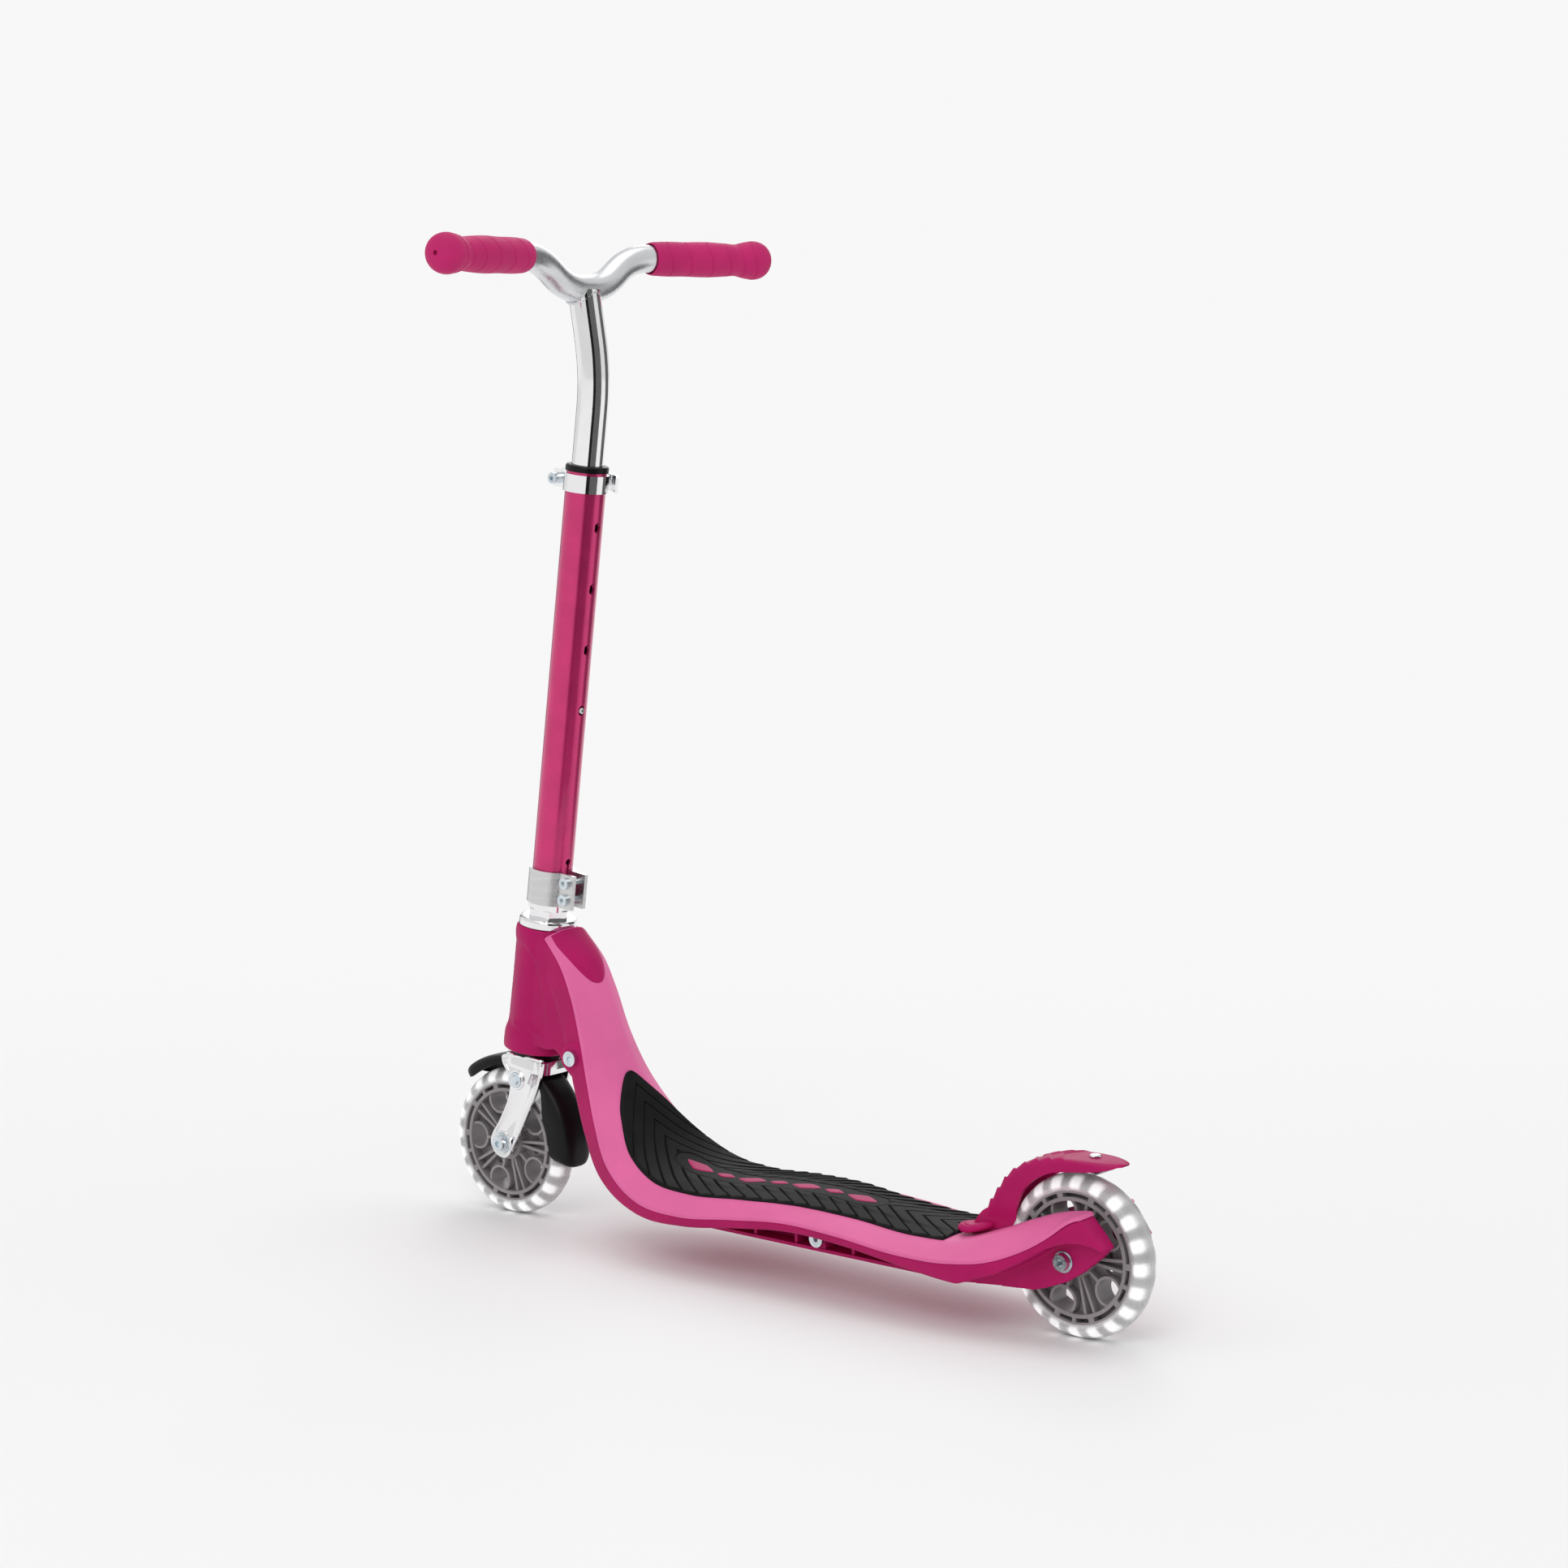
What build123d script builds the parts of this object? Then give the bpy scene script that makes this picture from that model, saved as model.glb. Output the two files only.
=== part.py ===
"""Child's two-wheeled kick scooter, modelled piece by piece in millimetres.

The origin is on the ground, midway between the axles, in the mid-plane.
+X points forward, +Y to the rider's left and +Z up.
"""
from build123d import *
from math import cos, radians, sin, tan
import os

# ---------------------------------------------------------------- driving sizes
WHEEL_RADIUS = 60.5
TYRE_WIDTH = 24.0
WHEELBASE = 564.0
AXLE_X = WHEELBASE / 2
AXLE_RADIUS = 4.0

STEER_RAKE = 7.27            # degrees, the column leans back
STEER_GROUND_X = 275.7       # where the steering axis meets the ground
COLUMN_RADIUS = 16.2         # lower steering tube, outside
COLUMN_BORE = 14.0
STEERER_RADIUS = 13.9
UPPER_TUBE_RADIUS = 12.7
HANDLEBAR_RADIUS = 11.0
TUBE_WALL = 1.6
HOLE_PITCH = 49.0            # between two height settings
HOLE_COUNT = 4

GRIP_SWEEP = 11.3            # degrees, the grips point out and back
GRIP_AXIS_X = 210.1          # where the two grip axes meet in the mid-plane
GRIP_AXIS_Z = 777.3
GRIP_INNER = 74.0            # distances along a grip axis from there
GRIP_OUTER = 194.0

SKIN_THICKNESS = 2.5
PAD_THICKNESS = 2.5
WHEEL_SLOT = 16.0            # half the gap between the rear arms
RUNNING = 0.05               # radial clearance of a shaft in its bearing
GAP = 0.4                    # clearance between pieces that move past each other

# heights along the steering axis, measured from the ground end of the axis
CROWN_BOTTOM = 134.0
CROWN_TOP = 137.0
BARREL_BOTTOM = 142.0
BARREL_TOP = 246.2
WASHER_BOTTOM = BARREL_TOP + GAP
ADJUSTER_BOTTOM = 253.3
LOCKNUT_BOTTOM = 260.0
BASE_CLAMP_BOTTOM = 265.5
BASE_CLAMP_TOP = 293.5
LOWEST_HOLE = 426.0
BAND_BOTTOM = 600.0
BAND_TOP = 614.0
COLUMN_TOP = 616.0
UPPER_TUBE_BOTTOM = 402.0

BARREL_RADIUS = 25.0
HEAD_TUBE_OUTER = 20.0
HEAD_TUBE_BORE = 17.0
HEADSET_POCKET = 6.0         # depth of each cup

os.makedirs("parts", exist_ok=True)

STEER = Plane(
    origin=(STEER_GROUND_X, 0, 0),
    x_dir=(cos(radians(STEER_RAKE)), 0, sin(radians(STEER_RAKE))),
    z_dir=(-sin(radians(STEER_RAKE)), 0, cos(radians(STEER_RAKE))),
)


def steer_point(along, forward=0.0, left=0.0):
    """A point given in the steering column's own coordinates."""
    return STEER.origin + STEER.x_dir * forward + STEER.y_dir * left + STEER.z_dir * along


def side_plane(y):
    """A plane parallel to the mid-plane at height y, drawn with +X right and +Z up."""
    return Plane(origin=(0, y, 0), x_dir=(1, 0, 0), z_dir=(0, -1, 0))


def column_side_plane(y):
    """A plane parallel to the mid-plane, drawn in the column's forward and along axes."""
    return Plane(origin=steer_point(0, 0, y), x_dir=STEER.x_dir, z_dir=(0, -1, 0))


# seen from behind the column, with the distance along the column upwards
COLUMN_BACK = Plane(origin=STEER.origin, x_dir=(0, -1, 0), z_dir=-STEER.x_dir)


def axle_axis(axle_x):
    return Axis((axle_x, 0, WHEEL_RADIUS), (0, 1, 0))


# ---------------------------------------------------------------- deck and neck
# Each station of the deck: ridge x, ridge z, half width at the rim, half width of the
# flat middle, how far the rim lies below the ridge, and how deep the side is there.
STATIONS = [
    (-324, 101, 33, 17, 1.0, 60),
    (-297, 100, 36, 17, 3.0, 60),
    (-275, 95.5, 41, 18, 13.0, 52),
    (-250, 86, 47, 22, 18.0, 40),
    (-225, 75, 54, 30, 17.0, 26),
    (-200, 66.5, 59, 36, 12.0, 18),
    (-160, 63, 60, 37, 9.5, 12),
    (-100, 66, 60, 36, 8.0, 10),
    (-50, 68.5, 61, 42, 9.0, 10),
    (0, 66.5, 64, 48, 12.0, 10),
    (50, 63.2, 67, 51, 14.0, 11),
    (88, 67.5, 65, 50, 15.0, 14),
    (117, 83, 58, 43, 15.0, 18),
    (138, 106, 47, 29, 14.0, 20),
    (157, 134, 36, 14, 12.0, 22),
    (172, 164, 29, 12, 10.0, 23),
    (187, 199, 26, 12, 8.0, 24),
    (199, 222, 25, 12, 8.0, 26),
    (219, 244, 23, 12, 8.0, 26),
]
MIDDLE_CROWN = 1.5
PAD_REAR_STATION_X = -185.0


def station_plane(index):
    """The plane across the deck at a station, square to the ridge line."""
    before = STATIONS[max(index - 1, 0)]
    after = STATIONS[min(index + 1, len(STATIONS) - 1)]
    x, z = STATIONS[index][:2]
    along = Vector(after[0] - before[0], 0, after[1] - before[1])
    return Plane(origin=(x, 0, z), x_dir=(0, 1, 0), z_dir=along)


def outer_section(index):
    """The whole outside of the deck, from the skin's top to the bottom of the side."""
    half, flat, drop, depth = STATIONS[index][2:]
    bottom = -drop - depth
    Polygon(
        (-half, -drop), (-flat, -MIDDLE_CROWN), (0, 0), (flat, -MIDDLE_CROWN), (half, -drop),
        (half - 2, bottom), (-half + 2, bottom), align=None,
    )


def core_section(index):
    """Everything under the skin, drawn wider than the deck so that it parts it cleanly."""
    half, flat, drop, depth = STATIONS[index][2:]
    slope = (drop - MIDDLE_CROWN) / (half - flat)
    wide = half + 5
    edge = -MIDDLE_CROWN - slope * (wide - flat) - SKIN_THICKNESS
    bottom = -drop - depth - 8
    Polygon(
        (-wide, edge), (-flat, -MIDDLE_CROWN - SKIN_THICKNESS), (0, -SKIN_THICKNESS),
        (flat, -MIDDLE_CROWN - SKIN_THICKNESS), (wide, edge), (wide, bottom), (-wide, bottom),
        align=None,
    )


def pad_section(index):
    """The grip pad, which starts a little inside the skin and stands proud of it."""
    flat = STATIONS[index][3]
    top = PAD_THICKNESS
    Polygon(
        (-flat, -MIDDLE_CROWN - 0.8), (-flat + 0.5, top - MIDDLE_CROWN), (0, top),
        (flat - 0.5, top - MIDDLE_CROWN), (flat, -MIDDLE_CROWN - 0.8), (0, -0.8), align=None,
    )


with BuildPart() as deck_outer:
    for index in range(len(STATIONS)):
        with BuildSketch(station_plane(index)):
            outer_section(index)
    loft(ruled=True)

with BuildPart() as deck_core:
    for index in range(len(STATIONS)):
        with BuildSketch(station_plane(index)):
            core_section(index)
    loft(ruled=True)

# the arms' slanted ends and the rising underside behind the rear axle
with BuildPart() as arm_end_trim:
    with BuildSketch(side_plane(0)):
        with BuildLine():
            Polyline((-288, 112), (-321, 76.5), (-312, 67))
            Spline((-312, 67), (-283, 44.5), (-250, 33))
            Polyline((-250, 33), (-250, -20), (-380, -20), (-380, 112), (-288, 112))
        make_face()
    extrude(amount=90, both=True)

# the slot for the rear wheel and the foot of the brake
with BuildPart() as wheel_slot:
    with BuildSketch(side_plane(0)):
        with BuildLine():
            Polyline(
                (-188, 60), (-190, 49), (-214, 49), (-214, 0),
                (-400, 0), (-400, 150), (-188, 150), (-188, 60),
            )
        make_face()
    extrude(amount=WHEEL_SLOT, both=True)

# a teardrop on the back of the neck, below the headset
with BuildPart() as teardrop:
    with BuildSketch(Plane(origin=(120, 0, 0), x_dir=(0, 1, 0), z_dir=(1, 0, 0))):
        with BuildLine():
            Spline((-28, 243), (-20, 227), (-10, 210), (0, 203), (10, 210), (20, 227), (28, 243))
            Polyline((28, 243), (28, 260), (-28, 260), (-28, 243))
        make_face()
    extrude(amount=112)

with BuildPart() as barrel_space:
    with BuildSketch(STEER.offset(BARREL_BOTTOM - 20)):
        Circle(BARREL_RADIUS)
    extrude(amount=BARREL_TOP - BARREL_BOTTOM + 40)

# steel frame member inside the moulding: head gusset and a bar along the keel
BEAM_HALF_WIDTH = 6.0
NECK_BOLT = (191.0, 145.5)
KEEL_BOLT = (-67.0, 43.5)
KEEL_BOTTOM = 34.0
with BuildPart() as inner_beam:
    with BuildSketch(side_plane(0)):
        with BuildLine():
            Polyline(
                (226, 236), (205, 212), (188, 160), (168, 108), (143, 68), (104, 49), (-170, 49),
                (-170, 38), (108, 38), (153, 60), (180, 100), (200, 134), (237, 150), (226, 236),
            )
        make_face()
    extrude(amount=BEAM_HALF_WIDTH, both=True)
    with BuildSketch(STEER.offset(BARREL_BOTTOM)):
        Circle(HEAD_TUBE_OUTER)
    extrude(amount=120, mode=Mode.SUBTRACT)
    for bolt_x, bolt_z in (NECK_BOLT, KEEL_BOLT):
        with BuildSketch(side_plane(0)):
            with Locations((bolt_x, bolt_z)):
                Circle(3.1)
        extrude(amount=20, both=True, mode=Mode.SUBTRACT)
inner_beam.part.label = "inner_beam"
export_step(inner_beam.part, "parts/inner_beam.step")

REAR_ARM_INSET = 24.0        # outer face of the arm inside the recess round the axle bolt
PIVOT = (-204.0, 58.0)       # brake hinge
NECK_HALF = 24.0
NECK_BOLT_SEAT = 30.5         # y of the seat under the head
KEEL_BOLT_SEAT = 37.0
SEAT_RADIUS = 7.4
LOBE_RADIUS = 13.0

with BuildPart() as frame_body:
    add(deck_outer.part)
    add(deck_core.part, mode=Mode.INTERSECT)
    add(barrel_space.part, mode=Mode.SUBTRACT)
    # web between the neck and the head barrel, with the lobe round the neck bolt
    with BuildSketch(side_plane(0)):
        with BuildLine():
            Polyline((246, 240), (231, 240), (207, 214), (180, 150), (178, 132), (197, 126))
            Line((197, 126), (210, 140))
            ThreePointArc((210, 140), (218, 149), (226, 146))
            Polyline((226, 146), (254, 150), (246, 240))
        make_face()
    extrude(amount=NECK_HALF, both=True)
    with BuildSketch(side_plane(0)):
        with Locations(NECK_BOLT):
            Circle(LOBE_RADIUS)
    extrude(amount=NECK_BOLT_SEAT, both=True)
    # head barrel with its thicker foot
    with BuildSketch(STEER.offset(BARREL_BOTTOM)):
        Circle(BARREL_RADIUS)
    extrude(amount=BARREL_TOP - BARREL_BOTTOM)
    with BuildSketch(STEER.offset(BARREL_BOTTOM)):
        Circle(BARREL_RADIUS + 2.6)
    extrude(amount=18)
    with BuildSketch(STEER.offset(BARREL_BOTTOM - 1)):
        Circle(HEAD_TUBE_OUTER)
    extrude(amount=BARREL_TOP - BARREL_BOTTOM + 2, mode=Mode.SUBTRACT)
    add(arm_end_trim.part, mode=Mode.SUBTRACT)
    add(wheel_slot.part, mode=Mode.SUBTRACT)
    # recess round the rear axle bolt on the outside of each arm
    for side in (1, -1):
        with BuildSketch(side_plane(side * REAR_ARM_INSET)):
            with BuildLine():
                Spline((-330, 70), (-296, 78), (-262, 62), (-225, 44), (-205, 36))
                Polyline((-205, 36), (-205, 20), (-330, 20), (-330, 70))
            make_face()
        extrude(amount=-side * 40, mode=Mode.SUBTRACT)
    # holes for the rear axle, the brake pivot and the two cross bolts
    for hole_x, hole_z, hole_radius in (
        (-AXLE_X, WHEEL_RADIUS, AXLE_RADIUS),
        (PIVOT[0], PIVOT[1], 2.5),
        (NECK_BOLT[0], NECK_BOLT[1], 3.1),
    ):
        with BuildSketch(side_plane(0)):
            with Locations((hole_x, hole_z)):
                Circle(hole_radius)
        extrude(amount=90, both=True, mode=Mode.SUBTRACT)
    add(inner_beam.part, mode=Mode.SUBTRACT)
    with BuildSketch(side_plane(0)):
        with Locations(NECK_BOLT, KEEL_BOLT):
            Circle(3.1)
    extrude(amount=20, both=True, mode=Mode.SUBTRACT)
    # flat seats for the bolt heads and nuts
    for seat, seat_y in ((NECK_BOLT, NECK_BOLT_SEAT), (KEEL_BOLT, KEEL_BOLT_SEAT)):
        for side in (1, -1):
            with BuildSketch(side_plane(side * seat_y)):
                with Locations(seat):
                    Circle(SEAT_RADIUS)
            extrude(amount=-side * 30, mode=Mode.SUBTRACT)
frame_body.part.label = "frame_body"
export_step(frame_body.part, "parts/frame_body.step")

with BuildPart() as deck_skin:
    add(deck_outer.part)
    add(deck_core.part, mode=Mode.SUBTRACT)
    add(barrel_space.part, mode=Mode.SUBTRACT)
    add(arm_end_trim.part, mode=Mode.SUBTRACT)
    add(wheel_slot.part, mode=Mode.SUBTRACT)
    add(teardrop.part, mode=Mode.SUBTRACT)
    add(frame_body.part, mode=Mode.SUBTRACT)
deck_skin.part.label = "deck_skin"
export_step(deck_skin.part, "parts/deck_skin.step")

with BuildPart() as head_cap:
    add(deck_outer.part)
    add(deck_core.part, mode=Mode.SUBTRACT)
    add(teardrop.part, mode=Mode.INTERSECT)
    add(barrel_space.part, mode=Mode.SUBTRACT)
    add(frame_body.part, mode=Mode.SUBTRACT)
head_cap.part.label = "head_cap"
export_step(head_cap.part, "parts/head_cap.step")


with BuildPart() as grip_pad:
    pad_stations = [i for i, row in enumerate(STATIONS) if PAD_REAR_STATION_X - 20 < row[0] < 160]
    for index in pad_stations:
        with BuildSketch(station_plane(index)):
            pad_section(index)
    loft(ruled=True)
    add(deck_outer.part, mode=Mode.SUBTRACT)
    with BuildSketch(Plane.XY):
        with Locations((PAD_REAR_STATION_X - 50, 0)):
            Rectangle(100, 140)
    extrude(amount=200, mode=Mode.SUBTRACT)
grip_pad.part.label = "grip_pad"
export_step(grip_pad.part, "parts/grip_pad.step")

# flat-bottomed keel moulding under the deck, open at the sides between its ribs
KEEL_HALF = 38.0
KEEL_FRONT = 60.0
KEEL_REAR = -206.0
KEEL_FLOOR = 2.5
KEEL_RIB = 2.5
KEEL_TOP = 54.0
KEEL_RIBS = (-180.0, -140.0, -100.0, -45.0, -5.0, 25.0)
with BuildPart() as keel_tray:
    with BuildSketch(Plane.XY.offset(KEEL_BOTTOM)):
        with Locations(((KEEL_FRONT + KEEL_REAR) / 2, 0)):
            RectangleRounded(KEEL_FRONT - KEEL_REAR, 2 * KEEL_HALF, 12)
    extrude(amount=KEEL_FLOOR)
    with BuildSketch(Plane.XY.offset(KEEL_BOTTOM)):
        with Locations(((KEEL_FRONT + KEEL_REAR) / 2, 22), ((KEEL_FRONT + KEEL_REAR) / 2, -22)):
            Rectangle(KEEL_FRONT - KEEL_REAR - 24, KEEL_RIB)
        for rib_x in KEEL_RIBS:
            with Locations((rib_x, 0)):
                Rectangle(KEEL_RIB, 2 * KEEL_HALF - 3)
        with Locations((KEEL_BOLT[0], 31)):
            Rectangle(14, 12)
        with Locations((KEEL_BOLT[0], -31)):
            Rectangle(14, 12)
    extrude(amount=30)
    add(frame_body.part, mode=Mode.SUBTRACT)
    add(inner_beam.part, mode=Mode.SUBTRACT)
    with BuildSketch(side_plane(0)):
        with Locations(KEEL_BOLT):
            Circle(3.1)
    extrude(amount=60, both=True, mode=Mode.SUBTRACT)
    with BuildSketch(side_plane(0)):
        with Locations(((KEEL_FRONT + KEEL_REAR) / 2, KEEL_TOP + 20)):
            Rectangle(KEEL_FRONT - KEEL_REAR + 20, 40)
    extrude(amount=60, both=True, mode=Mode.SUBTRACT)
keel_tray.part.label = "keel_tray"
export_step(keel_tray.part, "parts/keel_tray.step")

# ---------------------------------------------------------------- headset
with BuildPart() as head_tube:
    with BuildSketch(STEER.offset(BARREL_BOTTOM + HEADSET_POCKET)):
        Circle(HEAD_TUBE_OUTER)
        Circle(HEAD_TUBE_BORE, mode=Mode.SUBTRACT)
    extrude(amount=BARREL_TOP - BARREL_BOTTOM - 2 * HEADSET_POCKET)
head_tube.part.label = "head_tube"
export_step(head_tube.part, "parts/head_tube.step")

CUP_FLOOR = 1.5
CUP_INNER = 18.4
CUP_HOLE = 15.0
BEARING_FACE = 0.3
with BuildPart() as lower_cup:
    with BuildSketch(STEER.offset(BARREL_BOTTOM)):
        Circle(HEAD_TUBE_OUTER)
        Circle(CUP_INNER, mode=Mode.SUBTRACT)
    extrude(amount=HEADSET_POCKET - CUP_FLOOR)
    with BuildSketch(STEER.offset(BARREL_BOTTOM + HEADSET_POCKET - CUP_FLOOR)):
        Circle(HEAD_TUBE_OUTER)
        Circle(CUP_HOLE, mode=Mode.SUBTRACT)
    extrude(amount=CUP_FLOOR)
lower_cup.part.label = "lower_cup"
export_step(lower_cup.part, "parts/lower_cup.step")

with BuildPart() as upper_cup:
    with BuildSketch(STEER.offset(BARREL_TOP - HEADSET_POCKET)):
        Circle(HEAD_TUBE_OUTER)
        Circle(CUP_HOLE, mode=Mode.SUBTRACT)
    extrude(amount=CUP_FLOOR)
    with BuildSketch(STEER.offset(BARREL_TOP - HEADSET_POCKET + CUP_FLOOR)):
        Circle(HEAD_TUBE_OUTER)
        Circle(CUP_INNER, mode=Mode.SUBTRACT)
    extrude(amount=HEADSET_POCKET - CUP_FLOOR)
upper_cup.part.label = "upper_cup"
export_step(upper_cup.part, "parts/upper_cup.step")

with BuildPart() as lower_bearing:
    with BuildSketch(STEER.offset(BARREL_BOTTOM + BEARING_FACE)):
        Circle(CUP_INNER)
        Circle(STEERER_RADIUS + RUNNING, mode=Mode.SUBTRACT)
    extrude(amount=HEADSET_POCKET - CUP_FLOOR - BEARING_FACE)
lower_bearing.part.label = "lower_bearing"
export_step(lower_bearing.part, "parts/lower_bearing.step")

with BuildPart() as upper_bearing:
    with BuildSketch(STEER.offset(BARREL_TOP - HEADSET_POCKET + CUP_FLOOR)):
        Circle(CUP_INNER)
        Circle(STEERER_RADIUS + RUNNING, mode=Mode.SUBTRACT)
    extrude(amount=HEADSET_POCKET - CUP_FLOOR - BEARING_FACE)
upper_bearing.part.label = "upper_bearing"
export_step(upper_bearing.part, "parts/upper_bearing.step")

# ---------------------------------------------------------------- frame fasteners
SHANK_RADIUS = 3.0
BOLT_HEAD_RADIUS = 6.2
BOLT_HEAD_HEIGHT = 3.5
SOCKET_RADIUS = 2.3


def cross_bolt(at, half_length):
    """A button-head socket bolt along Y with its head on the left, and a nut on the right."""
    head_face = side_plane(half_length + BOLT_HEAD_HEIGHT)
    with BuildPart() as made:
        with BuildSketch(side_plane(half_length)):
            with Locations(at):
                Circle(SHANK_RADIUS)
        extrude(amount=2 * half_length)
        with BuildSketch(head_face):
            with Locations(at):
                Circle(BOLT_HEAD_RADIUS)
        extrude(amount=BOLT_HEAD_HEIGHT)
        with BuildSketch(head_face):
            with Locations(at):
                RegularPolygon(SOCKET_RADIUS, 6)
        extrude(amount=BOLT_HEAD_HEIGHT - 1, mode=Mode.SUBTRACT)
        with BuildSketch(side_plane(-half_length)):
            with Locations(at):
                RegularPolygon(BOLT_HEAD_RADIUS, 6)
        extrude(amount=BOLT_HEAD_HEIGHT)
    return made.part


with BuildPart() as neck_bolt:
    add(cross_bolt(NECK_BOLT, NECK_BOLT_SEAT))
neck_bolt.part.label = "neck_bolt"
export_step(neck_bolt.part, "parts/neck_bolt.step")

with BuildPart() as keel_bolt:
    add(cross_bolt(KEEL_BOLT, KEEL_BOLT_SEAT))
keel_bolt.part.label = "keel_bolt"
export_step(keel_bolt.part, "parts/keel_bolt.step")

# ---------------------------------------------------------------- wheels
RIM_RADIUS = 49.0
RIM_INNER = 41.5
HUB_HALF = 10.5
BEARING_RADIUS = 11.0
BEARING_HALF_GAP = 4.0
BOSS_RADIUS = 14.5
WEB_HALF = 2.2
ARCH_COUNT = 5
ARCH_OUTER = 11.5
ARCH_WALL = 2.0
ARCH_CENTRE = 35.0
RIB_WIDTH = 2.2
WINDOW_INNER = 44.3
WINDOW_OUTER = 47.4
WINDOW_ARCS = ((4, 32), (38, 52), (56, 70))     # degrees, long then two short, five times over


def wheel_plane(axle_x, y=0.0):
    return Plane(origin=(axle_x, y, WHEEL_RADIUS), x_dir=(1, 0, 0), z_dir=(0, -1, 0))


def ring(plane, outer, inner, half_width):
    """Add a plain ring, centred on the plane, to the piece being made."""
    with BuildSketch(plane) as outline:
        Circle(outer)
        Circle(inner, mode=Mode.SUBTRACT)
    extrude(outline.sketch, amount=half_width, both=True)


def hub(axle_x):
    """A moulded hub: boss, thin pierced web, five arches open to the rim, ribs and rim."""
    centre = wheel_plane(axle_x)
    spacing = 360 / ARCH_COUNT
    with BuildPart() as made:
        ring(centre, RIM_INNER + 1, BEARING_RADIUS, WEB_HALF)
        with BuildSketch(centre):
            with PolarLocations(ARCH_CENTRE, ARCH_COUNT):
                Circle(ARCH_OUTER)
            with PolarLocations(25, ARCH_COUNT, start_angle=spacing / 2 - 13):
                Circle(3.2)
            with PolarLocations(25, ARCH_COUNT, start_angle=spacing / 2 + 13):
                Circle(3.2)
        extrude(amount=WEB_HALF, both=True, mode=Mode.SUBTRACT)
        with BuildSketch(centre):
            with PolarLocations(ARCH_CENTRE, ARCH_COUNT):
                Circle(ARCH_OUTER)
            with PolarLocations(ARCH_CENTRE, ARCH_COUNT):
                Circle(ARCH_OUTER - ARCH_WALL, mode=Mode.SUBTRACT)
            with PolarLocations(18.5, ARCH_COUNT):
                Rectangle(11.5, RIB_WIDTH)
            with PolarLocations(27.5, ARCH_COUNT, start_angle=spacing / 2 - 5.5):
                Rectangle(29, RIB_WIDTH)
            with PolarLocations(27.5, ARCH_COUNT, start_angle=spacing / 2 + 5.5):
                Rectangle(29, RIB_WIDTH)
            Circle(RIM_INNER + 1, mode=Mode.INTERSECT)
            Circle(BOSS_RADIUS - 1, mode=Mode.SUBTRACT)
        extrude(amount=HUB_HALF - 1.5, both=True)
        ring(centre, BOSS_RADIUS, BEARING_RADIUS, HUB_HALF)
        ring(centre, RIM_RADIUS, RIM_INNER, HUB_HALF)
        with BuildSketch(centre):
            for repeat in range(ARCH_COUNT):
                for start, end in WINDOW_ARCS:
                    with BuildLine():
                        first = repeat * spacing + start
                        outer_arc = CenterArc((0, 0), WINDOW_OUTER, first, end - start)
                        inner_arc = CenterArc((0, 0), WINDOW_INNER, first, end - start)
                        Line(outer_arc @ 0, inner_arc @ 0)
                        Line(outer_arc @ 1, inner_arc @ 1)
                    make_face()
        extrude(amount=HUB_HALF, both=True, mode=Mode.SUBTRACT)
        # the middle of the rim stays closed behind the windows
        ring(centre, RIM_RADIUS - 1, RIM_INNER + 1, 2)
    return made.part


def tyre(axle_x):
    """A solid urethane tyre cast round the rim, with a rounded tread."""
    half = TYRE_WIDTH / 2
    with BuildPart() as made:
        with BuildSketch(Plane.YZ.offset(axle_x)):
            with BuildLine():
                foot = WHEEL_RADIUS + RIM_RADIUS
                Polyline((-HUB_HALF, foot), (HUB_HALF, foot), (half, foot + 3.5))
                ThreePointArc(
                    (half, foot + 3.5), (0, 2 * WHEEL_RADIUS), (-half, foot + 3.5)
                )
                Line((-half, foot + 3.5), (-HUB_HALF, foot))
            make_face()
        revolve(axis=axle_axis(axle_x))
    return made.part


def bearing_pair(axle_x):
    with BuildPart() as made:
        for y in (BEARING_HALF_GAP, -HUB_HALF):
            with BuildSketch(wheel_plane(axle_x, y)):
                Circle(BEARING_RADIUS)
                Circle(AXLE_RADIUS + RUNNING, mode=Mode.SUBTRACT)
            extrude(amount=-(HUB_HALF - BEARING_HALF_GAP))
    return made.part


def generator_coil(axle_x):
    """The coil ring that turns with the hub and feeds the lights."""
    with BuildPart() as made:
        ring(wheel_plane(axle_x), BEARING_RADIUS, 9.7, BEARING_HALF_GAP - 0.3)
    return made.part


def magnet_core(axle_x):
    """The magnet that stays still on the axle between the bearings."""
    with BuildPart() as made:
        ring(wheel_plane(axle_x), 9.2, AXLE_RADIUS, BEARING_HALF_GAP - 0.4)
    return made.part


def wheel_spacers(axle_x, outer_y):
    with BuildPart() as made:
        for y, direction in ((HUB_HALF + GAP, -1), (-HUB_HALF - GAP, 1)):
            with BuildSketch(wheel_plane(axle_x, y)):
                Circle(6.5)
                Circle(AXLE_RADIUS, mode=Mode.SUBTRACT)
            extrude(amount=direction * (outer_y - HUB_HALF - GAP))
    return made.part


AXLE_HEAD_RADIUS = 6.8
AXLE_HEAD_HEIGHT = 4.4


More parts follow.
